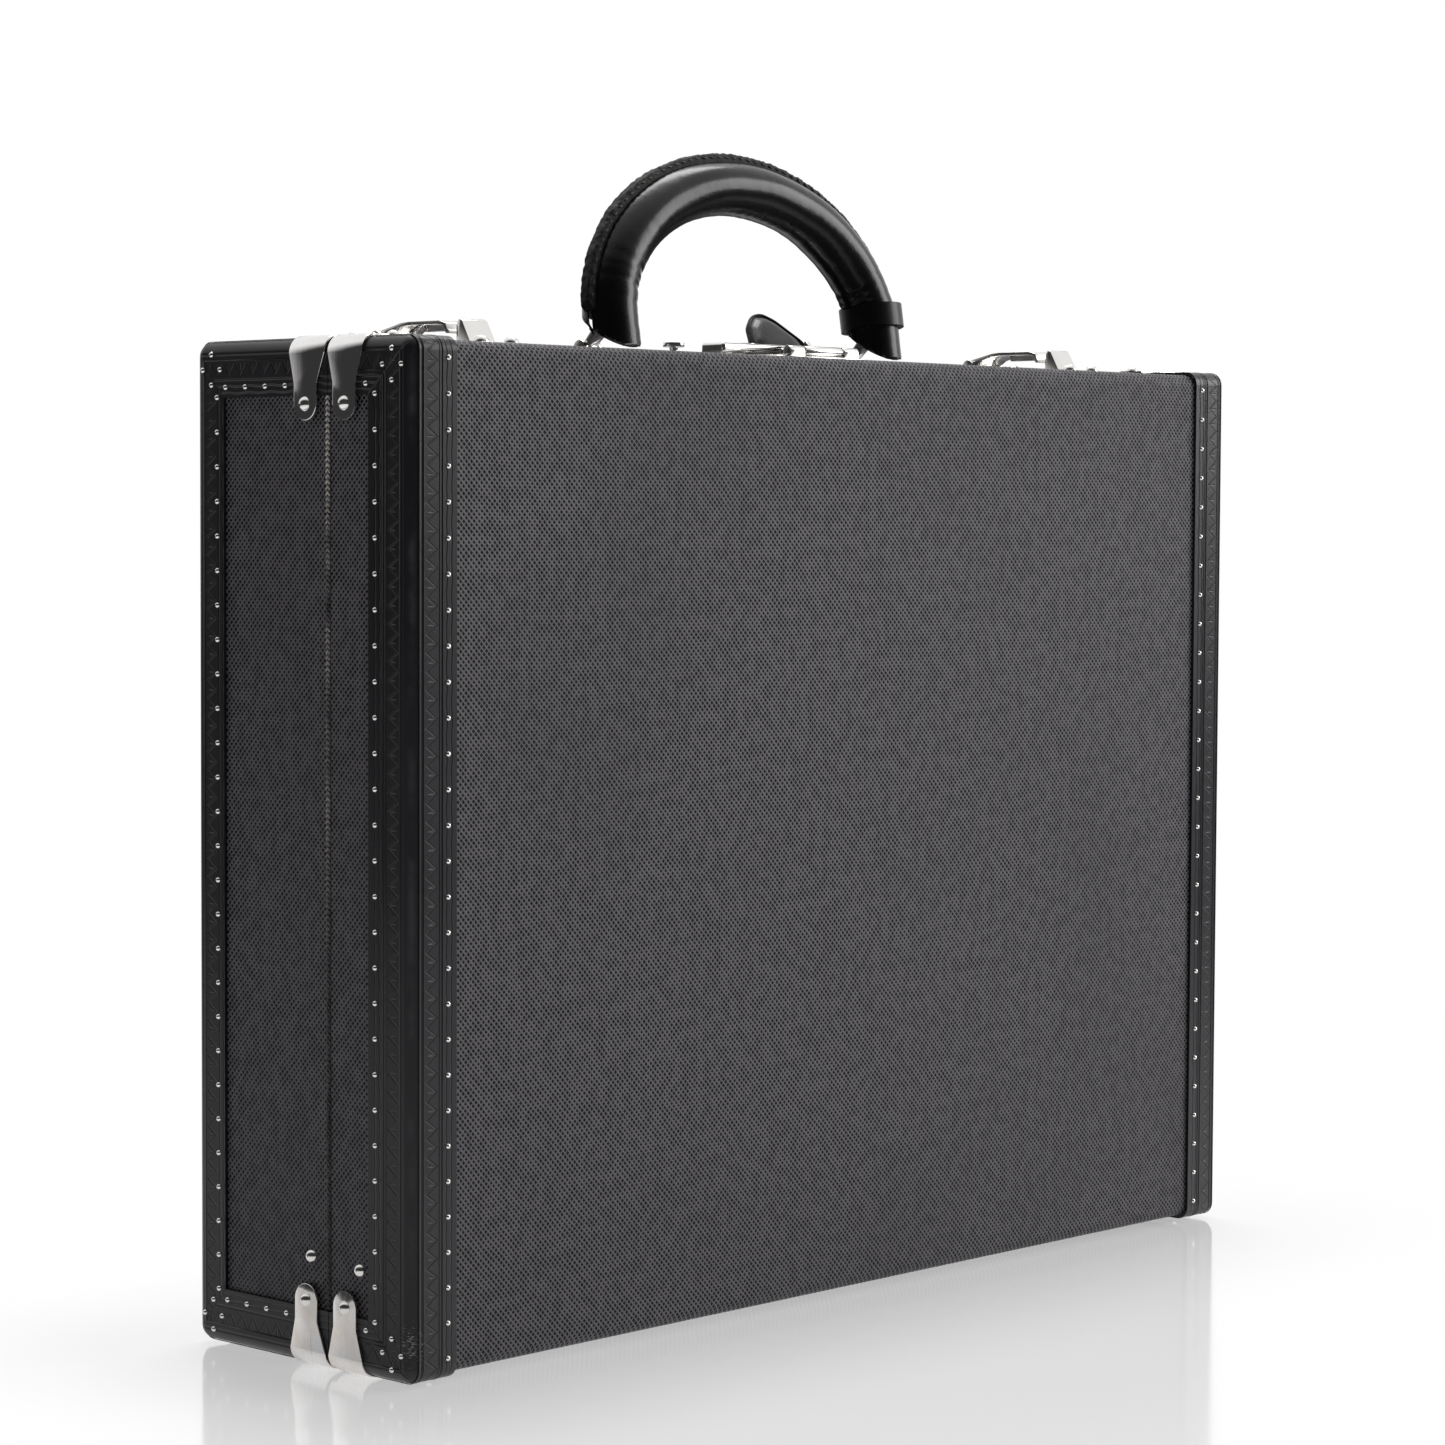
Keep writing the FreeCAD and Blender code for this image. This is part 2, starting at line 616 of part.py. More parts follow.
# ---------------------------------------------------------------- latches
TOP = size("top")
LX = size("latch_x")
PY = size("latch_pin_y")
PZ = TOP + size("latch_pin_lift")
wide = ("-latch_x - {0}", "-latch_x + {0}")


def span(half_text):
    return [e.format(half_text) for e in wide]


plate_level = ("top", "top + plate_thickness")
plate = block("latch_plate", span("11"), ("body_mouth + 0.8", "latch_pin_y + 4"), plate_level)
wings = block("latch_wings", span("15.5"), ("-9.5", "0.5"), plate_level)
ears = []
for number, (low, high) in enumerate((("-10", "-8.2"), ("8.2", "10"))):
    post = block(
        f"latch_ear_{number}",
        (f"-latch_x + ({low})", f"-latch_x + ({high})"),
        ("latch_pin_y - 2.6", "latch_pin_y + 2.6"),
        ("top + 0.5", "top + latch_pin_lift"),
    )
    tip = rod(
        f"latch_ear_tip_{number}",
        "X",
        "2.6",
        (f"-latch_x + ({low})", "latch_pin_y", "top + latch_pin_lift"),
        f"({high}) - ({low})",
    )
    ears += [post, tip]
pin = rod("latch_pin", "X", "latch_pin_radius", ("-latch_x - 9", "latch_pin_y", "top + latch_pin_lift"), "18")
latch_base = keep("latch_base_left", fuse("latch_base_all", plate, wings, pin, *ears))
keep("latch_base_right", mirrored("latch_base_right_m", latch_base))


def lever_outline():
    """Side view of the bent lever sheet, from its eye to the nose over the catch."""
    sheet_t = size("latch_sheet")
    top_z = TOP + size("latch_top")
    outer_side = [
        (PY + 2.4, PZ), (PY + 1.0, PZ + 2.4), (PY - 5.5, top_z - 1.6), (PY - 11.0, top_z - 0.3),
        (PY - 15.0, top_z), (-9.0, top_z), (-12.2, top_z - 1.0), (-13.6, top_z - 4.4),
    ]
    inner_side = [
        (-12.3, top_z - 4.6), (-11.2, top_z - 1.9), (-8.8, top_z - sheet_t), (PY - 14.8, top_z - sheet_t),
        (PY - 10.6, top_z - sheet_t - 0.4), (PY - 6.2, top_z - sheet_t - 1.6), (PY - 2.4, PZ),
    ]
    return outline("X", outer_side + inner_side)


HALF = size("latch_half")
sheet_body = prism("lever_sheet", "X", lever_outline(), -LX - HALF, 2 * HALF)
eye_start = ("-latch_x - latch_half", "latch_pin_y", "top + latch_pin_lift")
lever_eye = rod("lever_eye", "X", "2.4", eye_start, "2 * latch_half")
lever_bore = rod(
    "lever_bore",
    "X",
    "latch_pin_radius + running_clear",
    ("-latch_x - 9", "latch_pin_y", "top + latch_pin_lift"),
    "18",
)
rib = block("lever_rib", span("1.2"), ("-8", "6"), ("top + latch_top - 3.4", "top + latch_top - 0.6"))
lever = keep("latch_lever_left", cut("lever_cut", fuse("lever_all", sheet_body, lever_eye, rib), lever_bore))
keep("latch_lever_right", mirrored("latch_lever_right_m", lever))

catch_plate = block("catch_plate", span("11"), ("-34", "lid_mouth - 0.8"), plate_level)
CATCH = TOP + size("catch_top")
lug_wire = outline(
    "X", [(-15.9, TOP + 0.5), (-15.9, CATCH - 2.2), (-17.3, CATCH), (-18.6, CATCH - 0.6), (-23.5, TOP + 0.5)]
)
lug = prism("catch_lug", "X", lug_wire, -LX - 6.0, 12.0)
catch = keep("latch_catch_left", fuse("catch_all", catch_plate, lug))
keep("latch_catch_right", mirrored("latch_catch_right_m", catch))

# ---------------------------------------------------------------- lock and hasp
front_xs = ("-hasp_half - 4", "hasp_half + 4")
lock_sheet = block("lock_sheet", ("-lock_half", "lock_half"), ("lock_y - 6.5", "lock_y + 6.5"), plate_level)
lock_front = block("lock_front", front_xs, ("body_mouth + 0.8", "lock_y"), plate_level)
slots = []
for side in (-1, 1):
    low = "knob_offset - stem_radius - 0.2" if side > 0 else "-knob_offset - knob_travel - stem_radius - 0.2"
    high = "knob_offset + knob_travel + stem_radius + 0.2" if side > 0 else "-knob_offset + stem_radius + 0.2"
    slots.append(
        block(
            f"lock_slot_{'right' if side > 0 else 'left'}",
            (low, high),
            ("lock_y - stem_radius - 0.15", "lock_y + stem_radius + 0.15"),
            ("top - 1", "top + 3"),
        )
    )
keep("lock_plate", cut("lock_plate_cut", fuse("lock_plate_all", lock_sheet, lock_front), *slots))

case_body = doc.addObject("PartDesign::Body", "lock_case_body")
case_box = case_body.newObject("PartDesign::AdditiveBox", "lock_case_box")
bind(case_box, "Length", "2 * case_half")
bind(case_box, "Width", "12")
bind(case_box, "Height", "lock_top - plate_thickness")
place(case_body, "-case_half", "lock_y - 6", "top + plate_thickness")
doc.recompute()
upper = [
    f"Edge{n}"
    for n, edge in enumerate(case_box.Shape.Edges, 1)
    if any(v.Point.z > 0.1 for v in edge.Vertexes)
]
case_round = case_body.newObject("PartDesign::Fillet", "lock_case_round")
case_round.Base = (case_box, upper)
bind(case_round, "Radius", "1.2")
case_body.Tip = case_round
cylinder_hole = rod(
    "cylinder_hole", "Z", "cylinder_radius + running_clear", ("0", "lock_y", "top + 2"), "lock_top"
)
keep("lock_case", cut("lock_case_cut", case_body, cylinder_hole))
cylinder = rod("cylinder", "Z", "cylinder_radius", ("0", "lock_y", "top + 2.1"), "lock_top - 1.8")
slot_level = ("top + 3.4", "top + lock_top + 2")
key_slot = block("key_slot", ("-0.6", "0.6"), ("lock_y - 2.8", "lock_y + 2.8"), slot_level)
keep("key_cylinder", cut("cylinder_cut", cylinder, key_slot))

for name, centre in (("left", "-knob_offset"), ("right", "knob_offset")):
    foot = rod(f"knob_foot_{name}", "Z", "stem_radius", (centre, "lock_y", "top + 0.15"), "5.2")
    collar = rod(f"knob_collar_{name}", "Z", "2.6", (centre, "lock_y", "top + plate_thickness + 0.1"), "0.9")
    head = rod(f"knob_head_{name}", "Z", "knob_radius", (centre, "lock_y", "top + 4.6"), "1.7")
    keep(f"lock_knob_{name}", fuse(f"knob_{name}_all", foot, collar, head))

hasp_sheet = block("hasp_base_sheet", ("-hasp_half", "hasp_half"), ("-37.5", "lid_mouth - 0.8"), plate_level)
hasp_axis = ("hasp_pin_y", "top + hasp_pin_lift")
knuckles = []
for name, x in (("left", "-hasp_half + 1"), ("right", "hasp_half - 9")):
    ys = ("hasp_pin_y - hasp_knuckle", "hasp_pin_y + hasp_knuckle")
    knuckles.append(rod(f"hasp_knuckle_{name}", "X", "hasp_knuckle", (x, *hasp_axis), "8"))
    knuckles.append(block(f"hasp_foot_{name}", (x, f"({x}) + 8"), ys, ("top + 0.5", "top + hasp_pin_lift")))
hasp_all = fuse("hasp_base_all", hasp_sheet, *knuckles)
hasp_bore = rod("hasp_bore", "X", "hasp_pin_radius", ("-hasp_half", *hasp_axis), "2 * hasp_half")
keep("hasp_base", cut("hasp_base_cut", hasp_all, hasp_bore))
pin_start = ("-hasp_half + 0.5", *hasp_axis)
keep("hasp_pin", rod("hasp_pin_rod", "X", "hasp_pin_radius", pin_start, "2 * hasp_half - 1"))
flap_level = ("top + hasp_pin_lift - 0.8", "top + hasp_pin_lift + 0.8")
flap_xs = ("-hasp_half + 0.5", "hasp_half - 0.5")
flap = block("hasp_flap_sheet", flap_xs, ("hasp_pin_y + 2.4", "hasp_reach"), flap_level)
neck = block("hasp_neck", ("-hasp_half + 10", "hasp_half - 10"), ("hasp_pin_y", "hasp_pin_y + 4"), flap_level)
barrel = rod("hasp_barrel", "X", "hasp_knuckle", ("-hasp_half + 10", *hasp_axis), "2 * hasp_half - 20")
panel = block(
    "hasp_panel", ("-14", "14"), ("-27", "-6"), ("top + hasp_pin_lift", "top + hasp_pin_lift + 1.7")
)
free_radius = "hasp_pin_radius + running_clear"
free_bore = rod("hasp_free_bore", "X", free_radius, ("-hasp_half", *hasp_axis), "2 * hasp_half")
keep("hasp_flap", cut("hasp_flap_cut", fuse("hasp_flap_all", flap, neck, barrel, panel), free_bore))

# ---------------------------------------------------------------- handle mounts and shanks
MX = size("mount_offset")
MY = size("mount_y")
MZ = TOP + size("mount_lift")
pivot = ("mount_y", "top + mount_lift")
foot_xs = ("-mount_offset - 9", "-mount_offset + 9")
mount_sheet = block("mount_sheet", foot_xs, ("mount_y - 5", "mount_y + 8"), plate_level)
mount_window = block(
    "mount_window",
    ("-mount_offset - 2.6", "-mount_offset + 2.6"),
    ("mount_y - eye_radius - 0.3", "mount_y + eye_radius + 0.3"),
    ("top - 1", "top + 2"),
)
mount_bits = [cut("mount_plate", mount_sheet, mount_window)]
for number, low in enumerate(("-4.4", "2.6")):
    x = f"-mount_offset + ({low})"
    mount_bits.append(
        block(
            f"mount_ear_{number}",
            (x, f"({x}) + 1.8"),
            ("mount_y - 3", "mount_y + 3"),
            ("top + 0.5", "top + mount_lift"),
        )
    )
    mount_bits.append(rod(f"mount_ear_tip_{number}", "X", "3", (x, *pivot), "1.8"))
mount_bits.append(rod("mount_pin", "X", "mount_pin_radius", ("-mount_offset - 4", *pivot), "8"))
mount = keep("handle_mount_left", fuse("mount_all", *mount_bits))
keep("handle_mount_right", mirrored("handle_mount_right_m", mount))

LEAN = math.radians(size("grip_lean"))
UP = FreeCAD.Vector(0, math.sin(LEAN), math.cos(LEAN))
SIDE = FreeCAD.Vector(1, 0, 0)
ACROSS = SIDE.cross(UP)
FOOT = FreeCAD.Vector(0, size("grip_y"), TOP)


def on_handle(x, rise):
    """A point of the handle's own leaning plane."""
    return FOOT + SIDE * x + UP * rise


def arch(offset, leg_from):
    """Centre line of the handle, or a line beside it, as one wire from right to left."""
    a = size("grip_half_span") + offset
    b = size("grip_rise") + offset
    leg = size("grip_leg")
    ellipse = Part.Ellipse(on_handle(a, leg), on_handle(0, leg + b), on_handle(0, leg))
    edges = [Part.ArcOfEllipse(ellipse, 0, math.pi).toShape()]
    if leg_from < leg:
        edges.insert(0, Part.makeLine(on_handle(a, leg_from), on_handle(a, leg)))
        edges.append(Part.makeLine(on_handle(-a, leg), on_handle(-a, leg_from)))
    return Part.Wire(edges)


def swept(name, path_shape, profile_shape):
    """A profile carried along a path, as a sweep feature."""
    path = shape_item(name + "_path", path_shape)
    profile = shape_item(name + "_profile", profile_shape)
    item = doc.addObject("Part::Sweep", name)
    item.Sections = [profile]
    item.Spine = (path, [f"Edge{n}" for n in range(1, len(path_shape.Edges) + 1)])
    item.Solid = True
    item.Frenet = False
    return item


def round_profile(radius, x, rise):
    circle = Part.makeCircle(radius, on_handle(x, rise), UP)
    return Part.Wire([circle])


HALF_SPAN = size("grip_half_span")
grip_tube = swept("grip_tube", arch(0.0, 1.0), round_profile(size("grip_radius"), HALF_SPAN, 1.0))
core_bar = swept("core_bar", arch(0.0, 9.0), round_profile(size("core_radius"), HALF_SPAN, 9.0))
ends = []
for side in (-1, 1):
    high, low = TOP + size("grip_end_high"), TOP + size("grip_end_low")
    reach = [(-30, TOP - 20), (30, TOP - 20), (30, high + 4), (14.0, high), (-9.5, low), (-30, low - 3)]
    x = side * size("grip_half_span")
    ends.append(prism(f"grip_end_{'l' if side < 0 else 'r'}", "X", outline("X", reach), x - 14, 28))


def shank():
    """The eye on the mount pin and the flat bar that runs up into the leather."""
    half_wide = size("eye_half")
    eye = Part.makeCylinder(
        size("eye_radius"), 2 * half_wide, FreeCAD.Vector(-MX - half_wide, MY, MZ), FreeCAD.Vector(1, 0, 0)
    )
    joint = on_handle(-size("grip_half_span"), 14.0)
    points = [(MY - 1.7, MZ), (MY + 1.7, MZ), (joint.y + 4.6, joint.z - 1.0), (joint.y + 2.2, joint.z + 3.0),
              (joint.y - 1.6, joint.z + 3.0), (joint.y - 1.6, joint.z - 1.0), (joint.y + 2.0, joint.z - 4.5)]
    bar = Part.Face(outline("X", points)).extrude(FreeCAD.Vector(2 * half_wide, 0, 0))
    bar.translate(FreeCAD.Vector(-MX - half_wide, 0, 0))
    bore = Part.makeCylinder(
        size("mount_pin_radius") + size("running_clear"),
        10,
        FreeCAD.Vector(-MX - 5, MY, MZ),
        FreeCAD.Vector(1, 0, 0),
    )
    return eye.fuse(bar).cut(bore).removeSplitter()


shank_left = keep("handle_shank_left", shape_item("handle_shank_left_s", shank()))
shank_right = keep("handle_shank_right", mirrored("handle_shank_right_m", shank_left))
keep("handle_core", cut("core_cut", core_bar, shank_left, shank_right))
keep("handle_grip", cut("grip_cut", grip_tube, core_bar, shank_left, shank_right, *ends))

ridge_line = size("grip_radius") + 0.4
x = size("grip_half_span") + ridge_line
rise = size("grip_leg")
half_w = size("spine_width") / 2
tall = size("spine_height")
corners = [
    on_handle(x - 2.6, rise) - ACROSS * half_w,
    on_handle(x + tall - 0.4, rise) - ACROSS * half_w,
    on_handle(x + tall - 0.4, rise) + ACROSS * half_w,
    on_handle(x - 2.6, rise) + ACROSS * half_w,
]
ridge = swept("spine_sweep", arch(ridge_line, rise), Part.makePolygon(corners + corners[:1]))
spine_floor = block("spine_floor", ("-end_x", "end_x"), ("-40", "40"), ("top - 5", "top + spine_low"))
keep("handle_spine", cut("spine_cut", ridge, grip_tube, spine_floor))

# ---------------------------------------------------------------- luggage tag
loop_low = on_handle(size("grip_half_span"), 15.2)
loop_out = Part.makeCylinder(size("grip_radius") + 2.1, 9.0, loop_low, UP)
loop_in = Part.makeCylinder(size("grip_radius"), 9.0, loop_low, UP)
loop_band = shape_item("tag_loop_band", loop_out.cut(loop_in))
keep("tag_loop", cut("tag_loop_cut", loop_band, grip_tube, parts["handle_spine"]))
TAG_TILT = size("tag_tilt")
TAG_SPOT = FreeCAD.Vector(size("tag_start"), MY + size("tag_back"), TOP + size("tag_lift"))


def tag_shape(grow, start, thick):
    """The bell outline of the tag, standing on its long edge."""
    long = size("tag_length")
    tall = size("tag_width")
    points = [
        (0.0 - grow, 0.0 - grow), (0.0 - grow, 0.30 * tall), (0.16 * long, 0.78 * tall + grow),
        (0.42 * long, tall + grow), (0.66 * long, 0.86 * tall + grow), (0.90 * long, 0.52 * tall + grow),
        (long + grow, 0.42 * tall + grow), (long + grow, 0.0 - grow),
    ]
    wire = outline("Y", points)
    face = Part.Face(wire.translated(FreeCAD.Vector(0, start, 0)))
    solid = face.extrude(FreeCAD.Vector(0, thick, 0))
    upright = [e for e in solid.Edges if abs(e.tangentAt(e.FirstParameter).y) > 0.9]
    solid = solid.makeFillet(2.2, upright[1:6])
    solid.rotate(FreeCAD.Vector(), FreeCAD.Vector(1, 0, 0), -TAG_TILT)
    solid.translate(TAG_SPOT)
    return solid


keep("tag_body", shape_item("tag_body_s", tag_shape(0.0, 0.0, size("tag_thickness"))))
strap_spot = TAG_SPOT + SIDE * size("tag_length")
STRAP = (size("strap_length"), size("strap_thickness"), size("strap_width"))
strap_rest = Part.makeBox(*STRAP, FreeCAD.Vector(0, 0.7, 0.6))
strap_rest.rotate(FreeCAD.Vector(), FreeCAD.Vector(1, 0, 0), -TAG_TILT)
strap_rest.translate(strap_spot)
keep("tag_strap", shape_item("tag_strap_s", strap_rest))
buckle_out = Part.makeBox(size("buckle_width"), 3.4, 11.4, FreeCAD.Vector(0.5, -0.5, -0.6))
buckle_in = Part.makeBox(*STRAP, FreeCAD.Vector(0, 0.7, 0.6))
buckle = buckle_out.cut(buckle_in)
buckle.rotate(FreeCAD.Vector(), FreeCAD.Vector(1, 0, 0), -TAG_TILT)
buckle.translate(strap_spot)
keep("tag_buckle", shape_item("tag_buckle_s", buckle.Solids[0]))

# ---------------------------------------------------------------- document pocket
pocket_xs = ("-pocket_half", "pocket_half")
pocket_back = "lid_face + room_inset"
pocket_all = block(
    "pocket_all", pocket_xs, (pocket_back, f"{pocket_back} + pocket_depth"), ("pocket_low", "pocket_high")
)
pocket_room = block(
    "pocket_room",
    ("-pocket_half + pocket_wall", "pocket_half - pocket_wall"),
    (f"{pocket_back} + pocket_wall", f"{pocket_back} + pocket_depth - pocket_wall"),
    ("pocket_low + pocket_wall", "pocket_high + 2"),
)
keep("document_pocket", cut("pocket_cut", pocket_all, pocket_room))

# ---------------------------------------------------------------- rivets
for half in ("body", "lid"):
    heads = []
    centre = size(f"{half}_clip_centre")
    stud_y, stud_z = studs[half]
    out = 1 if half == "body" else -1
    for side in (-1, 1):
        face = side * (E + CLIP)
        for z in (ROOF - size("clip_rivet_drop"), BASE + size("clip_rivet_drop")):
            heads.append(dome((face, centre, z), (side, 0, 0), *RIVET))
        run_x = side * (E - 21.0)
        heads.append(dome((run_x, centre, ROOF + CLIP), (0, 0, 1), *RIVET))
        heads.append(disc((run_x, centre, BASE - CLIP), (0, 0, -1), 3.4, size("foot_height")))
        heads.append(dome((side * (E - size("cover_inset")), stud_y, stud_z), (side, 0, 0), *RIVET))
        lift = TOP + size("plate_thickness")
        if half == "body":
            for dx in (-12.0, 12.0):
                heads.append(dome((side * LX + dx, -4.5, lift), (0, 0, 1), 2.8, 2.4))
            for px in (26.2, 51.3):
                heads.append(dome((side * px, size("lock_y"), lift), (0, 0, 1), *RIVET))
            for dx in (-6.4, 6.4):
                heads.append(dome((side * MX + dx, MY + 5.2, lift), (0, 0, 1), 1.8, 1.4))
        else:
            for dx in (-7.0, 7.0):
                heads.append(dome((side * LX + dx, -29.6, lift), (0, 0, 1), 2.8, 2.4))
    for n in range(12):
        leaf_x = -LONG / 2 + LONG * (n + 0.5) / 12
        spot = (leaf_x, SEAM + out * 9.5, LEAF_TOP - size("leaf_thickness"))
        heads.append(disc(spot, (0, 0, -1), 1.9, 0.6))
    keep(f"{half}_rivets", shape_item(f"{half}_rivet_set", Part.makeCompound(heads)))

doc.recompute()

# ---------------------------------------------------------------- checks and files
faults = []
for item in doc.Objects:
    if "Invalid" in item.State or "Error" in item.State:
        faults.append(f"{item.Name} {item.State}")
for node, item in parts.items():
    if item.Shape.isNull() or not item.Shape.isValid() or not item.Shape.Solids:
        faults.append(f"{node} has no valid solid")
if faults:
    raise RuntimeError("; ".join(faults))
os.makedirs("parts", exist_ok=True)
for node, item in parts.items():
    item.Shape.exportStep(f"parts/{node}.step")
    print(node, len(item.Shape.Solids), round(item.Shape.Volume, 1))
print(len(parts), "parts")
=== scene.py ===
"""Looks of a leather-clad attache case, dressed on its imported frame."""

import bisect
import json
import logging
import math
from dataclasses import dataclass, field
from enum import Enum
from typing import Callable, Dict, List, Optional, Sequence, Tuple, Union

import bmesh
import bpy
from mathutils import Matrix, Vector, noise


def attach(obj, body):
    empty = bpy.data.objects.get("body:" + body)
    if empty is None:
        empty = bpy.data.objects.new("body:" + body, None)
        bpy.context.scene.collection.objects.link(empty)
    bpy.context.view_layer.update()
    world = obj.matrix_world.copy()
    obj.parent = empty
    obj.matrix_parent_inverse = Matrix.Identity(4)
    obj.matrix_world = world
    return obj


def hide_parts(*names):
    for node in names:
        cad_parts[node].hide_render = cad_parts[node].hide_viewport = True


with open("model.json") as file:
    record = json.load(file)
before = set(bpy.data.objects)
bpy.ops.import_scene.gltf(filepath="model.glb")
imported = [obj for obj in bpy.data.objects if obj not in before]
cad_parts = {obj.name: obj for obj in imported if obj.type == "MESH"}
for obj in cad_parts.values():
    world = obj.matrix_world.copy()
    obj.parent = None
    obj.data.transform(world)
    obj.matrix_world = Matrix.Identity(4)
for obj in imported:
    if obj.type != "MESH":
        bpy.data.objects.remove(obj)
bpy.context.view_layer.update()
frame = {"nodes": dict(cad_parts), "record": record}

logging.basicConfig(level=logging.INFO, format="%(message)s")
log = logging.getLogger("attache")

MM = 0.001
SQUARE_ON = 0.7
WHITE = (1.0, 1.0, 1.0, 1.0)
Number = Union[float, "Value"]
Colour = Tuple[float, float, float]


class Level(Enum):
    """Where a binding strip lies on the end face."""

    SIDE = "side"
    TOP = "top"
    BOTTOM = "bottom"


# ------------------------------------------------------------------ shader expressions
class Value:
    """A number socket that takes part in plain arithmetic."""

    def __init__(self, graph: "Graph", socket: bpy.types.NodeSocket) -> None:
        """Wrap one output socket.

        Args:
            graph: the graph that the socket belongs to.
            socket: the output socket.
        """
        self.graph = graph
        self.socket = socket

    def math(self, operation: str, *others: Number) -> "Value":
        """Add one Math node.

        Args:
            operation: the Math node's operation.
            others: the operation's further operands.

        Returns:
            The node's result.
        """
        return self.graph.math(operation, self, *others)

    def __add__(self, other: Number) -> "Value":
        """Return self + other."""
        return self.math("ADD", other)

    def __radd__(self, other: Number) -> "Value":
        """Return other + self."""
        return self.math("ADD", other)

    def __sub__(self, other: Number) -> "Value":
        """Return self - other."""
        return self.math("SUBTRACT", other)

    def __rsub__(self, other: Number) -> "Value":
        """Return other - self."""
        return self.graph.math("SUBTRACT", other, self)

    def __mul__(self, other: Number) -> "Value":
        """Return self * other."""
        return self.math("MULTIPLY", other)

    def __rmul__(self, other: Number) -> "Value":
        """Return other * self."""
        return self.math("MULTIPLY", other)

    def __truediv__(self, other: Number) -> "Value":
        """Return self / other."""
        return self.math("DIVIDE", other)

    def __abs__(self) -> "Value":
        """Return the absolute value."""
        return self.math("ABSOLUTE")

    def over(self, limit: Number) -> "Value":
        """Return 1 where self is greater than the limit, else 0."""
        return self.math("GREATER_THAN", limit)

    def fraction(self) -> "Value":
        """Return the part after the point."""
        return self.math("FRACT")

    def power(self, exponent: Number) -> "Value":
        """Return self raised to an exponent."""
        return self.math("POWER", exponent)

    def least(self, other: Number) -> "Value":
        """Return the smaller of two."""
        return self.math("MINIMUM", other)

    def most(self, other: Number) -> "Value":
        """Return the larger of two."""
        return self.math("MAXIMUM", other)

    def hill(self, centre: float, half_width: float) -> "Value":
        """Return a smooth ridge, 1 at the centre and 0 beyond half_width from it."""
        return self.graph.ramp(abs(self - centre), half_width, 0.0)


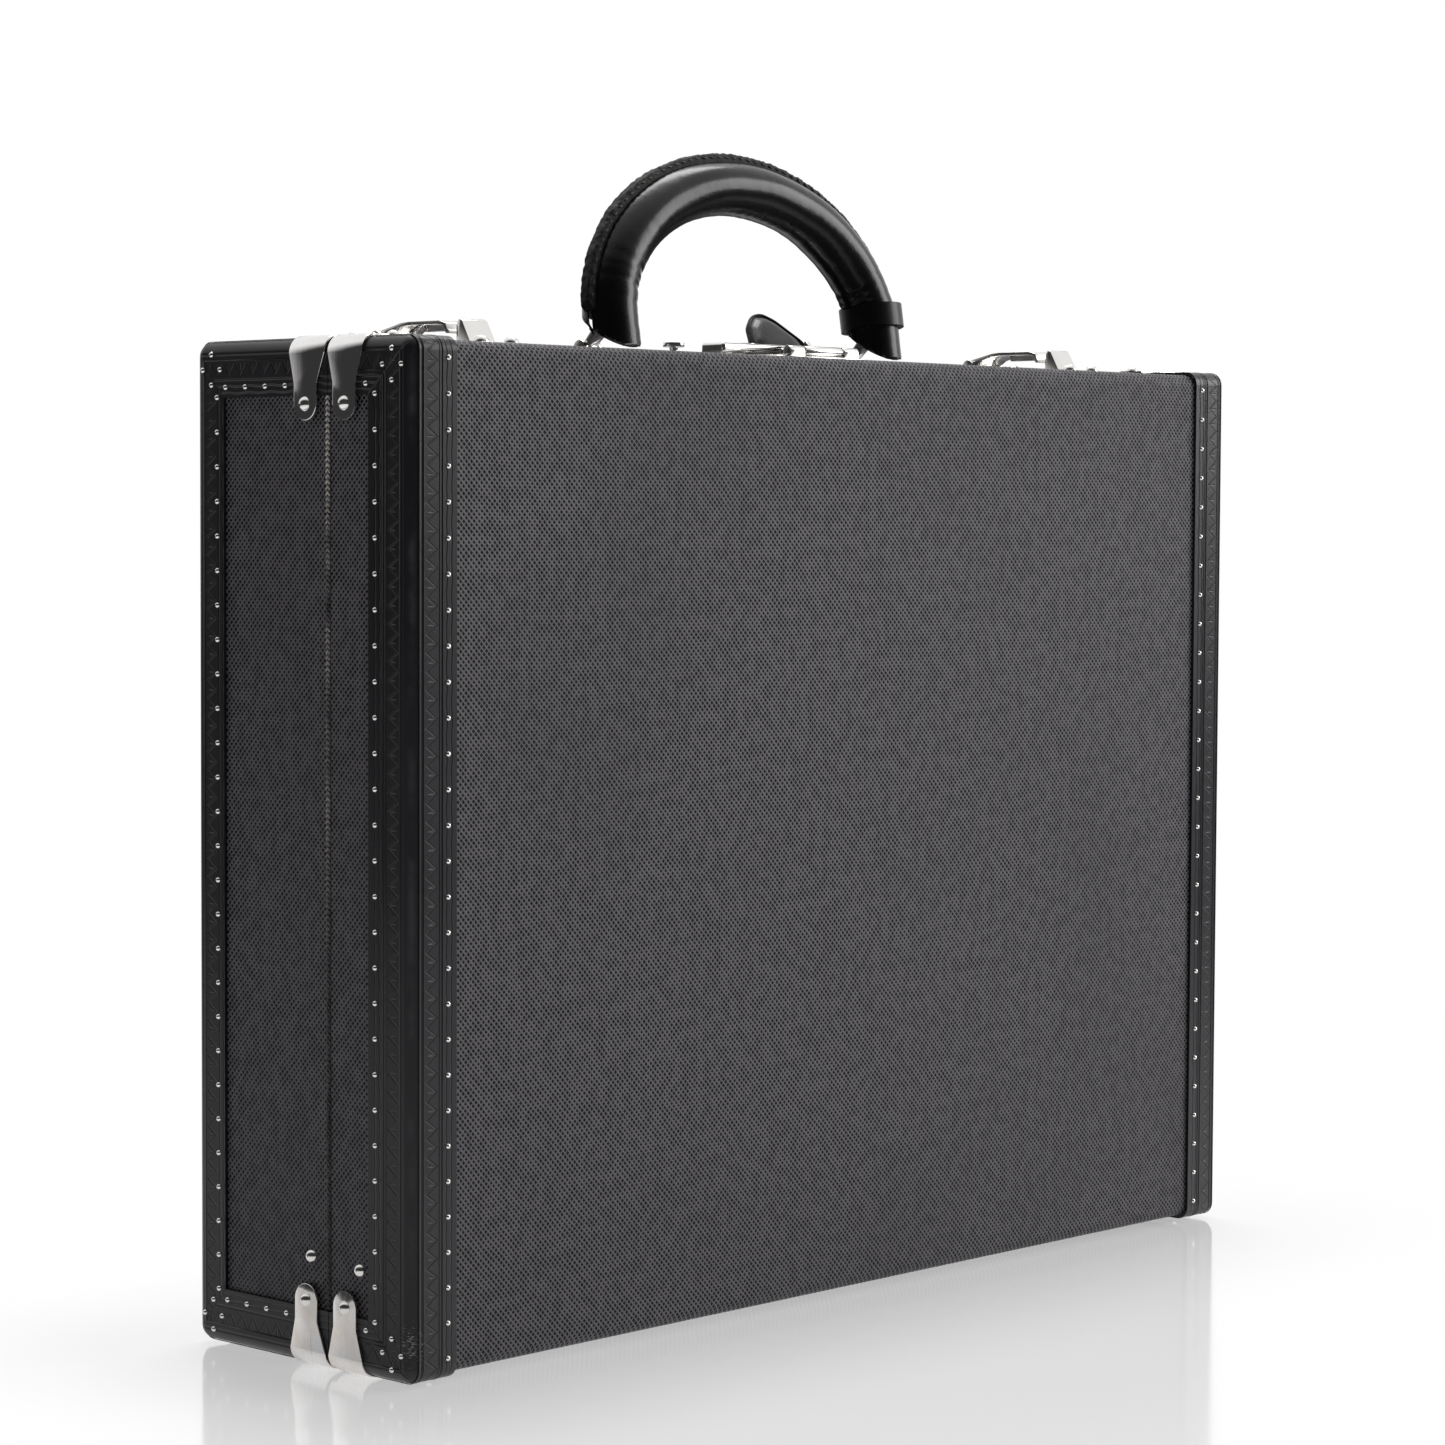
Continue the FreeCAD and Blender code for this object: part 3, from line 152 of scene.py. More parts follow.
class Graph:
    """A node tree whose numbers are written as expressions."""

    def __init__(self, tree: bpy.types.NodeTree) -> None:
        """Empty a node tree and keep it."""
        self.tree = tree
        self.tree.nodes.clear()

    def node(
        self,
        kind: str,
        settings: Optional[Dict[str, object]] = None,
        inputs: Optional[Dict[Union[str, int], object]] = None,
    ) -> bpy.types.Node:
        """Add any node.

        Args:
            kind: the node's type.
            settings: properties set before its sockets.
            inputs: values or links by socket name or number.

        Returns:
            The new node.
        """
        made = self.tree.nodes.new(kind)
        for key, value in (settings or {}).items():
            setattr(made, key, value)
        for key, value in (inputs or {}).items():
            self.feed(made.inputs[key], value)
        return made

    def feed(self, socket: bpy.types.NodeSocket, value: object) -> None:
        """Set or link one input socket.

        Args:
            socket: the input.
            value: what it gets, a plain value, a Value or an output socket.
        """
        if isinstance(value, Value):
            self.tree.links.new(value.socket, socket)
        elif isinstance(value, bpy.types.NodeSocket):
            self.tree.links.new(value, socket)
        else:
            socket.default_value = value

    def math(self, operation: str, *operands: Number) -> Value:
        """Add a Math node and return its result."""
        made = self.node("ShaderNodeMath", {"operation": operation}, dict(enumerate(operands)))
        return Value(self, made.outputs[0])

    def ramp(
        self, value: Number, low: Number, high: Number, to_low: float = 0.0, to_high: float = 1.0
    ) -> Value:
        """Change a number smoothly into another.

        Args:
            value: the number.
            low: where the change starts.
            high: where it ends.
            to_low: result at low.
            to_high: result at high.

        Returns:
            The result.
        """
        made = self.node(
            "ShaderNodeMapRange",
            {"interpolation_type": "SMOOTHSTEP"},
            {0: value, 1: low, 2: high, 3: to_low, 4: to_high},
        )
        return Value(self, made.outputs[0])

    def coordinates(self) -> Tuple[Value, Value, Value]:
        """Read the object's own coordinates.

        Returns:
            x, y and z in metres.
        """
        where = self.node("ShaderNodeTexCoord")
        self.place = where.outputs["Object"]
        split = self.node("ShaderNodeSeparateXYZ", inputs={0: self.place})
        return tuple(Value(self, s) for s in split.outputs)

    def on_face(self) -> Tuple[Value, Value]:
        """Read the coordinates that lie on a flat face.

        Returns:
            The one across and the one upward, whichever way the face looks.
        """
        self.axes = x, y, z = self.coordinates()
        nx, _, nz = self.facing()
        return self.choose(nx.over(SQUARE_ON), x, y), self.choose(nz.over(SQUARE_ON), z, y)

    def facing(self) -> Tuple[Value, Value, Value]:
        """Read which way the surface looks.

        Returns:
            The size of its normal along the object's own x, y and z.
        """
        where = self.node("ShaderNodeTexCoord")
        split = self.node("ShaderNodeSeparateXYZ", inputs={0: where.outputs["Normal"]})
        return tuple(abs(Value(self, s)) for s in split.outputs)

    def vector(self, x: Number, y: Number, z: Number) -> bpy.types.NodeSocket:
        """Join three numbers."""
        return self.node("ShaderNodeCombineXYZ", inputs={0: x, 1: y, 2: z}).outputs[0]

    def noise(
        self, scale: float, detail: float = 3.0, where: Optional[object] = None, rough: float = 0.5
    ) -> Value:
        """Make cloudy noise.

        Args:
            scale: how many clouds there are to a metre.
            detail: how many finer layers it has.
            where: the place it is read at, or the object's own coordinates.
            rough: how strong the finer layers are.

        Returns:
            The noise, from 0 to 1.
        """
        made = self.node(
            "ShaderNodeTexNoise",
            inputs={"Vector": where or self.place, "Scale": scale, "Detail": detail, "Roughness": rough},
        )
        return Value(self, made.outputs[0])

    def cells(self, scale: float, where: Optional[object] = None) -> Value:
        """Return the distance to the nearest cell centre."""
        made = self.node("ShaderNodeTexVoronoi", inputs={"Vector": where or self.place, "Scale": scale})
        return Value(self, made.outputs["Distance"])

    def blend(self, factor: Number, first: object, second: object) -> bpy.types.NodeSocket:
        """Mix two colours.

        Args:
            factor: share of the second.
            first: a colour or the socket that gives it.
            second: the same.

        Returns:
            The socket of the mixed colour.
        """
        made = self.node("ShaderNodeMix", {"data_type": "RGBA"}, {0: factor})
        for number, colour in ((6, first), (7, second)):
            self.feed(made.inputs[number], (*colour, 1.0) if isinstance(colour, tuple) else colour)
        return made.outputs[2]

    def choose(self, factor: Number, first: Number, second: Number) -> Value:
        """Mix two numbers."""
        made = self.node("ShaderNodeMix", {"data_type": "FLOAT"}, {0: factor, 2: first, 3: second})
        return Value(self, made.outputs[0])

    def seen_directly(self) -> Tuple[Value, Value]:
        """Tell the rays that show the surroundings.

        Returns:
            1 where they are seen by the camera or through glass, and 1 where they are mirrored.
        """
        path = self.node("ShaderNodeLightPath")
        camera, glossy, through = (
            Value(self, path.outputs[f"Is {kind} Ray"]) for kind in ("Camera", "Glossy", "Transmission")
        )
        return camera.most(through), glossy


class Finish(Graph):
    """A material's node tree with a Principled shader at its end."""

    def __init__(self, name: str) -> None:
        """Make an empty material.

        Args:
            name: the material's name.
        """
        self.material = bpy.data.materials.new(name)
        self.material.use_nodes = True
        super().__init__(self.material.node_tree)
        self.shader = self.node("ShaderNodeBsdfPrincipled")
        self.output = self.node("ShaderNodeOutputMaterial", inputs={"Surface": self.shader.outputs[0]})

    def finish(
        self,
        colour: object,
        roughness: Number,
        relief: Optional[Value] = None,
        depth: float = 0.0001,
        **plain: float,
    ) -> bpy.types.Material:
        """Feed the shader.

        Args:
            colour: base colour or the socket that gives it.
            roughness: roughness or the expression that gives it.
            relief: height of the surface from 0 to 1.
            depth: what a height of 1 stands for, in metres.
            plain: further shader sockets that are the same all over.

        Returns:
            The finished material.
        """
        self.feed(self.shader.inputs["Base Color"], (*colour, 1.0) if isinstance(colour, tuple) else colour)
        self.feed(self.shader.inputs["Roughness"], roughness)
        if relief is not None:
            bump = self.node("ShaderNodeBump", inputs={"Strength": 1.0, "Distance": depth, "Height": relief})
            self.feed(self.shader.inputs["Normal"], bump.outputs[0])
        for key, value in plain.items():
            self.shader.inputs[key.replace("_", " ")].default_value = value
        return self.material


# ------------------------------------------------------------------ finishes
@dataclass(frozen=True)
class CrossGrainLeather:
    """Printed calf leather: two sets of slanting ridges that cross and leave small pits."""

    name: str = "cross_grain_leather"
    ridge: Colour = (0.150, 0.141, 0.156)
    pit_painted_shade: Colour = (0.003, 0.0027, 0.0035)
    pitch: float = 1.65
    depth: float = 0.00028

    def build(self) -> bpy.types.Material:
        """Build the finish's nodes.

        Returns:
            The material.
        """
        g = Finish(self.name)
        across, upward = g.on_face()
        wander = (g.noise(60.0, 2.0) - 0.5) * 1.5 * MM
        x, y, z = g.axes
        sway = (g.noise(45.0, 2.0, g.vector(z, x, y)) - 0.5) * 1.5 * MM
        scale = math.pi * math.sqrt(0.5) / (self.pitch * MM)
        rising = abs(((across + upward + wander) * scale).math("SINE"))
        falling = abs(((across - upward + sway) * scale).math("SINE"))
        strong = g.ramp(g.noise(240.0, 2.0), 0.35, 0.65, 0.32, 0.54)
        hollow = g.ramp(rising.least(falling * 0.9 + 0.1), strong, strong + 0.34)
        cord = (1.0 - rising) * 0.35 + (1.0 - falling) * 0.22
        fine = g.noise(2400.0, 2.0)
        relief = (1.0 - hollow) * 0.62 + cord + fine * 0.05
        shade = g.ramp(relief, 0.24, 0.82)
        cloud = g.noise(6.0, 3.0)
        # The pits are painted near black against the lighter ridges: partly the grain's own tone, partly
        # painted shade in the pits.
        tone = g.blend(shade, self.pit_painted_shade, self.ridge)
        tone = g.blend(g.ramp(cloud, 0.45, 0.75) * 0.30, tone, (0.040, 0.036, 0.038))
        rub = g.ramp(g.noise(26.0, 4.0), 0.60, 0.80) * shade * 0.35
        tone = g.blend(rub, tone, (0.17, 0.165, 0.18))
        rough = 0.56 - shade * 0.12 + cloud * 0.08
        return g.finish(tone, rough, relief, self.depth, Specular_IOR_Level=0.22)


@dataclass(frozen=True)
class BindingLeather:
    """Smooth waxed leather strip with pressed lines and a pressed zigzag band."""

    level: Level
    scuffed: bool = False
    half_width: float = 225.0
    half_depth: float = 56.0
    low: float = 1.6
    high: float = 349.6
    tone: Colour = (0.011, 0.0105, 0.014)
    light: Colour = (0.026, 0.025, 0.031)
    zigzag_pitch: float = 6.2
    depth: float = 0.00045
    seam: float = -14.5
    rail: float = 19.5
    body_strip: float = 16.0
    lid_strip: float = 21.3

    def build(self) -> bpy.types.Material:
        """Build the finish's nodes.

        Returns:
            The material.
        """
        g = Finish(f"binding_leather_{self.level.value}{'_scuffed' if self.scuffed else ''}")
        x, y, z = g.coordinates()
        nx, ny, nz = g.facing()
        x, y, z = x * 1000.0, y * 1000.0, z * 1000.0
        end_face = nx.over(SQUARE_ON)
        from_end = self.half_width - abs(x)
        plain_run = y
        run = y
        if self.level is Level.SIDE:
            from_edge = self.half_depth - abs(y)
            run = z
            plain_run = g.choose(nz.over(SQUARE_ON), z, y)
        elif self.level is Level.TOP:
            from_edge = self.high - z
        else:
            from_edge = z - self.low
        t = g.choose(end_face, from_end, from_edge)
        s = g.choose(end_face, plain_run, run)
        lines = t.hill(4.6, 0.8).most(t.hill(13.4, 0.6))
        nail_line = t + (s * 0.53).math("SINE") * 0.18
        fold = nail_line.hill(15.6, 0.5).most(nail_line.hill(17.9, 0.45))
        wave = abs((s / self.zigzag_pitch).fraction() - 0.5) * 2.0
        band = g.ramp(abs(t - (wave * 4.4 + 6.9)), 0.85, 0.30)
        bar = t.hill(9.1, 2.4) * abs((s / self.zigzag_pitch).fraction() - 0.5).hill(0.5, 0.06)
        slope = g.choose(y.over(self.seam), self.rail / self.lid_strip, self.rail / self.body_strip)
        from_level = (self.high - z).least(z - self.low)
        diagonal = (self.half_depth - abs(y)) * slope - from_level
        mitre = diagonal.hill(0.0, 0.45) * end_face * from_level.hill(0.0, 60.0)
        stipple = g.noise(1100.0, 2.0) * t.hill(9.1, 3.6)
        creases = g.noise(30.0, 5.0, rough=0.62)
        pores = g.cells(1500.0)
        raised = creases * 0.34 + pores * 0.05 + stipple * 0.10
        relief = raised - lines * 0.45 - band * 0.50 - bar * 0.3 - fold * 0.5 - mitre * 0.8
        cloud = g.noise(14.0, 4.0)
        tone = g.blend((cloud - 0.3) * 0.8, self.tone, self.light)
        # The pressed lines, the zigzag and the folds beside the nails are painted darker as shade in the
        # grooves and between the raised welts; the mitre line is the strips' dark joint.
        tone = g.blend(lines.most(band).most(fold).most(mitre) * 0.65, tone, (0.004, 0.004, 0.005))
        # Pale patches on the turned edges: partly edge wear, partly painted highlight along the rounded
        # edges.
        turned = 1.0 - nx.most(ny).most(nz)
        edge_wear_and_highlight = g.ramp(turned, 0.05, 0.28) * g.ramp(g.noise(60.0, 4.0), 0.42, 0.62)
        tone = g.blend(edge_wear_and_highlight * 0.22, tone, (0.15, 0.15, 0.16))
        rough = 0.34 + cloud * 0.14 + edge_wear_and_highlight * 0.12 + band * 0.1
        if self.scuffed:
            streaks = g.noise(1.0, 4.0, g.vector(x * 0.45, y * 0.45, z * 2.4), 0.8)
            spot = z.hill(15.5, 12.0) * y.hill(-53.5, 6.0) * x.hill(-222.0, 7.0)
            scratch = g.ramp(streaks + spot * 0.16, 0.66, 0.71) * g.ramp(spot, 0.02, 0.2)
            tone = g.blend(scratch * 0.85, tone, (0.60, 0.60, 0.62))
            rough = rough + scratch * 0.3
        wax = {"Specular_IOR_Level": 0.36, "Coat_Weight": 0.10, "Coat_Roughness": 0.22}
        return g.finish(tone, rough, relief, self.depth, **wax)


@dataclass(frozen=True)
class SmoothLeather:
    """Waxed smooth leather of the handle and tag, with fine creases."""

    name: str
    tone: Colour = (0.0045, 0.0042, 0.0052)
    light: Colour = (0.013, 0.0125, 0.015)
    roughness: float = 0.27
    crease_scale: float = 120.0
    crease_depth: float = 0.00022

    def build(self) -> bpy.types.Material:
        """Build the finish's nodes.

        Returns:
            The material.
        """
        g = Finish(self.name)
        g.coordinates()
        folds = g.noise(self.crease_scale, 5.0, rough=0.6)
        pores = g.cells(1300.0)
        cloud = g.noise(28.0, 3.0)
        tone = g.blend((cloud - 0.25) * 1.1, self.tone, self.light)
        tone = g.blend(g.ramp(folds, 0.60, 0.75) * 0.30, tone, (0.045, 0.043, 0.046))
        relief = folds * 0.7 + pores * 0.12
        rough = self.roughness + cloud * 0.14
        wax = {"Specular_IOR_Level": 0.22, "Coat_Weight": 0.12, "Coat_Roughness": 0.12}
        return g.finish(tone, rough, relief, self.crease_depth, **wax)


@dataclass(frozen=True)
class RawLeatherEdge:
    """Burnished cut edge of stacked leather, rough and dull."""

    name: str = "raw_leather_edge"
    tone: Colour = (0.018, 0.017, 0.017)

    def build(self) -> bpy.types.Material:
        """Build the finish's nodes.

        Returns:
            The material.
        """
        g = Finish(self.name)
        g.coordinates()
        fibres = g.noise(700.0, 5.0, rough=0.7)
        clumps = g.noise(160.0, 4.0)
        tone = g.blend(g.ramp(fibres, 0.4, 0.75) * 0.5, self.tone, (0.075, 0.068, 0.062))
        relief = fibres * 0.6 + clumps * 0.4
        return g.finish(tone, 0.55 + clumps * 0.2, relief, 0.0004, Specular_IOR_Level=0.25)


@dataclass(frozen=True)
class PolishedFitting:
    """Nickel-plated brass, polished, with fine rubbing marks."""

    name: str
    tone: Colour = (0.80, 0.79, 0.775)
    roughness: float = 0.11
    marks: float = 0.10

    def build(self) -> bpy.types.Material:
        """Build the finish's nodes.

        Returns:
            The material.
        """
        g = Finish(self.name)
        x, y, z = g.coordinates()
        cloud = g.noise(140.0, 3.0)
        brushed = g.noise(1.0, 3.0, g.vector(x * 900.0, y * 900.0, z * 90.0), 0.6)
        scratch = g.ramp(brushed, 0.60, 0.72)
        tone = g.blend(cloud * 0.5, self.tone, (0.66, 0.63, 0.60))
        rough = self.roughness + scratch * self.marks + cloud * 0.10
        return g.finish(tone, rough, brushed, 0.000012, Metallic=1.0)


@dataclass(frozen=True)
class WornPlate:
    """Silver-coloured sheet of the edge clips, rubbed lengthwise and yellowed near the floor."""

    name: str = "worn_clip_plate"
    tone: Colour = (0.80, 0.79, 0.79)
    aged: Colour = (0.70, 0.60, 0.50)

    def build(self) -> bpy.types.Material:
        """Build the finish's nodes.

        Returns:
            The material.
        """
        g = Finish(self.name)
        x, y, z = g.coordinates()
        strokes = g.noise(1.0, 4.0, g.vector(x * 500.0, y * 500.0, z * 40.0), 0.65)
        stain = g.noise(70.0, 5.0, rough=0.65)
        low = g.ramp(z, 0.04, 0.0)
        tone = g.blend(g.ramp(stain, 0.35, 0.70) * (low * 0.75 + 0.12), self.tone, self.aged)
        tone = g.blend(g.ramp(strokes, 0.60, 0.72) * 0.3, tone, (0.35, 0.33, 0.32))
        rough = 0.07 + low * 0.18 + g.ramp(strokes, 0.45, 0.7) * 0.08
        return g.finish(tone, rough, strokes * 0.5 + stain * 0.5, 0.00005, Metallic=1.0)


@dataclass(frozen=True)
class BraidedTrim:
    """Woven edging of the mouths, paler towards the top of the case and in patches."""

    name: str = "braided_trim"
    pale: Colour = (0.80, 0.76, 0.72)
    dark: Colour = (0.035, 0.032, 0.030)

    def build(self) -> bpy.types.Material:
        """Build the finish's nodes.

        Returns:
            The material.
        """
        g = Finish(self.name)
        x, y, z = g.coordinates()
        strands = ((x * 3.0 + y + z) * 5200.0).math("SINE") * 0.5 + 0.5
        patch_noise = g.noise(45.0, 4.0)
        # The strands are paler towards the top of the case and in noise patches.
        high = g.ramp(z, 0.10, 0.29, 0.12, 0.95)
        tone = g.blend(high * g.ramp(patch_noise, 0.25, 0.60), self.dark, self.pale)
        tone = g.blend(strands * 0.35, tone, self.dark)
        return g.finish(tone, 0.72 + patch_noise * 0.15, strands, 0.0001)


@dataclass(frozen=True)
class BrushedMetal:
    """Satin metal with a grain in one direction."""

    name: str
    tone: Colour
    roughness: float = 0.3

    def build(self) -> bpy.types.Material:
        """Build the finish's nodes.

        Returns:
            The material.
        """
        g = Finish(self.name)
        x, y, z = g.coordinates()
        grain = g.noise(1.0, 3.0, g.vector(x * 60.0, y * 1400.0, z * 1400.0), 0.6)
        cloud = g.noise(40.0, 3.0)
        tone = g.blend(grain * 0.4, self.tone, tuple(c * 0.72 for c in self.tone))
        return g.finish(tone, self.roughness + grain * 0.12 + cloud * 0.06, grain, 0.00003, Metallic=1.0)


@dataclass(frozen=True)
class Plywood:
    """Thin birch board with long grain."""

    name: str = "plywood"
    light: Colour = (0.60, 0.43, 0.26)
    dark: Colour = (0.40, 0.26, 0.14)

    def build(self) -> bpy.types.Material:
        """Build the finish's nodes.

        Returns:
            The material.
        """
        g = Finish(self.name)
        x, y, z = g.coordinates()
        grain = g.noise(1.0, 5.0, g.vector(x * 9.0, y * 260.0, z * 260.0), 0.65)
        layers = (y * 900.0 + x * 900.0).math("SINE") * 0.5 + 0.5
        tone = g.blend(g.ramp(grain, 0.35, 0.7), self.light, self.dark)
        tone = g.blend(layers * 0.18, tone, self.dark)
        return g.finish(tone, 0.55 + grain * 0.2, grain, 0.0002)


@dataclass(frozen=True)
class LiningCloth:
    """Fine woven lining."""

    name: str = "lining_cloth"
    tone: Colour = (0.050, 0.044, 0.042)
    pitch: float = 0.55

    def build(self) -> bpy.types.Material:
        """Build the finish's nodes.

        Returns:
            The material.
        """
        g = Finish(self.name)
        across, upward = g.on_face()
        turn = math.pi / (self.pitch * MM)
        warp = abs((across * turn).math("SINE"))
        weft = abs((upward * turn).math("SINE"))
        weave = warp.most(weft)
        cloud = g.noise(12.0, 3.0)
        tone = g.blend(weave * 0.5 + cloud * 0.3, (0.022, 0.019, 0.018), self.tone)
        return g.finish(tone, 0.78 + cloud * 0.1, weave, 0.00012, Sheen_Weight=0.2)


@dataclass(frozen=True)
class Thread:
    """Waxed twisted sewing thread."""

    name: str = "waxed_thread"
    tone: Colour = (0.028, 0.027, 0.027)

    def build(self) -> bpy.types.Material:
        """Build the finish's nodes.

        Returns:
            The material.
        """
        g = Finish(self.name)
        x, y, z = g.coordinates()
        twist = ((x + y + z) * 9000.0).math("SINE") * 0.5 + 0.5
        tone = g.blend(twist, self.tone, (0.07, 0.068, 0.066))
        return g.finish(tone, 0.5 + twist * 0.15, twist, 0.00008)


# ------------------------------------------------------------------ mesh helpers
def mesh_piece(name: str, mesh: bmesh.types.BMesh, material: bpy.types.Material) -> bpy.types.Object:
    """Turn a bmesh into an object with one material.

    Args:
        name: the piece's name.
        mesh: the finished bmesh, which is freed.
        material: its finish.

    Returns:
        The linked object.
    """
    bmesh.ops.recalc_face_normals(mesh, faces=mesh.faces)
    for face in mesh.faces:
        face.smooth = True
    data = bpy.data.meshes.new(name)
    mesh.to_mesh(data)
    mesh.free()
    data.materials.append(material)
    made = bpy.data.objects.new(name, data)
    bpy.context.scene.collection.objects.link(made)
    log.info("made %s: %d faces", name, len(data.polygons))
    return made


def rolled_sheet(along: int, around: int, shape: Callable[[float, float], Vector]) -> bmesh.types.BMesh:
    """Roll a flat grid into a closed tube and cap its ends.

    Args:
        along: steps along the tube.
        around: steps around it.
        shape: gives the place of each point from two numbers between 0 and 1.

    Returns:
        The tube.
    """
    tube = bmesh.new()
    bmesh.ops.create_grid(tube, x_segments=along, y_segments=around, size=0.5)
    for vert in tube.verts:
        vert.co = shape(vert.co.x + 0.5, vert.co.y + 0.5)
    bmesh.ops.remove_doubles(tube, verts=tube.verts, dist=1e-6)
    bmesh.ops.holes_fill(tube, edges=[e for e in tube.edges if e.is_boundary], sides=around + 2)
    return tube


def body_of(node: str) -> str:
    """Return the name of the body that carries a node."""
    bodies = frame["record"]["behaviour"]["bodies"]
    return next(name for name, nodes in bodies.items() if node in nodes)


def dress(nodes: Sequence[str], material: bpy.types.Material) -> None:
    """Give CAD nodes a finish.

    Args:
        nodes: names of the nodes.
        material: the finish of all of them.
    """
    for node in nodes:
        piece = frame["nodes"][node]
        piece.data.materials.clear()
        piece.data.materials.append(material)
        log.info("dressed %s in %s", node, material.name)


# ------------------------------------------------------------------ sub-assemblies
@dataclass
class Shells:
    """The two halves of the case: covers, boards, linings, bindings and mouths."""

    halves: Tuple[str, ...] = ("body", "lid")
    sides: Tuple[str, ...] = ("left", "right")

    def build(self) -> None:
        """Dress every node of both halves."""
        dress([f"{h}_cover" for h in self.halves], CrossGrainLeather().build())
        dress([f"{h}_shell" for h in self.halves], Plywood().build())
        dress([f"{h}_lining" for h in self.halves], LiningCloth().build())
        aluminium = BrushedMetal("satin_aluminium", (0.62, 0.61, 0.60), 0.3).build()
        dress([f"{h}_frame" for h in self.halves], aluminium)
        for level in Level:
            names = [f"{h}_binding_{s}_{level.value}" for h in self.halves for s in self.sides]
            dress(names, BindingLeather(level).build())
        dress(["lid_binding_left_side"], BindingLeather(Level.SIDE, scuffed=True).build())
        dress(["document_pocket"], SmoothLeather("pocket_leather", roughness=0.55).build())


@dataclass
class Fittings:
    """All the metal parts."""

    bright: Tuple[str, ...] = (
        "latch_base_left", "latch_base_right", "latch_lever_left", "latch_lever_right", "latch_catch_left",
        "latch_catch_right", "lock_plate", "lock_case", "lock_knob_left", "lock_knob_right", "hasp_base",
        "hasp_flap", "handle_mount_left", "handle_mount_right", "handle_shank_left", "handle_shank_right",
        "tag_buckle",
    )
    heads: Tuple[str, ...] = ("body_nails", "lid_nails", "body_rivets", "lid_rivets")
    plain: Tuple[str, ...] = (
        "hinge_leaf_body", "hinge_leaf_lid", "hinge_pin", "stay_studs_body", "stay_studs_lid",
        "stay_arm_left", "stay_arm_right", "hasp_pin", "handle_core",
    )

    edge: float = 0.22
    crease: float = 32.0

    def soften(self, node: str, finish: bpy.types.Material) -> None:
        """Stand a copy with rounded edges in for a sharp metal node.

        Args:
            node: the node's name.
            finish: the copy's finish.
        """
        made = bmesh.new()
        made.from_mesh(frame["nodes"][node].data)
        bmesh.ops.remove_doubles(made, verts=made.verts, dist=0.002 * MM)
        flat = math.radians(1.0)
        bmesh.ops.dissolve_limit(made, angle_limit=flat, verts=made.verts[:], edges=made.edges[:])
        limit = math.radians(self.crease)
        sharp = [e for e in made.edges if len(e.link_faces) == 2 and e.calc_face_angle(0.0) > limit]
        bmesh.ops.bevel(
            made,
            geom=sharp,
            offset=self.edge * MM,
            affect="EDGES",
            segments=2,
            profile=0.5,
            material=-1,
            clamp_overlap=True,
        )
        piece = mesh_piece(f"{node}_finished", made, finish)
        piece.data.set_sharp_from_angle(angle=math.radians(40.0))
        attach(piece, body_of(node))
        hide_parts(node)

    def build(self) -> None:
        """Dress the metal nodes."""
        fitting = PolishedFitting("polished_fitting").build()
        plate = WornPlate().build()
        for node in ("body_edge_clips", "lid_edge_clips"):
            self.soften(node, plate)
        for node in self.bright:
            self.soften(node, fitting)
        dress(self.heads, PolishedFitting("polished_nail", roughness=0.09, marks=0.05).build())
        dress(self.plain, BrushedMetal("plain_steel", (0.42, 0.42, 0.43), 0.32).build())
        dress(["key_cylinder"], BrushedMetal("key_metal", (0.70, 0.67, 0.60), 0.25).build())


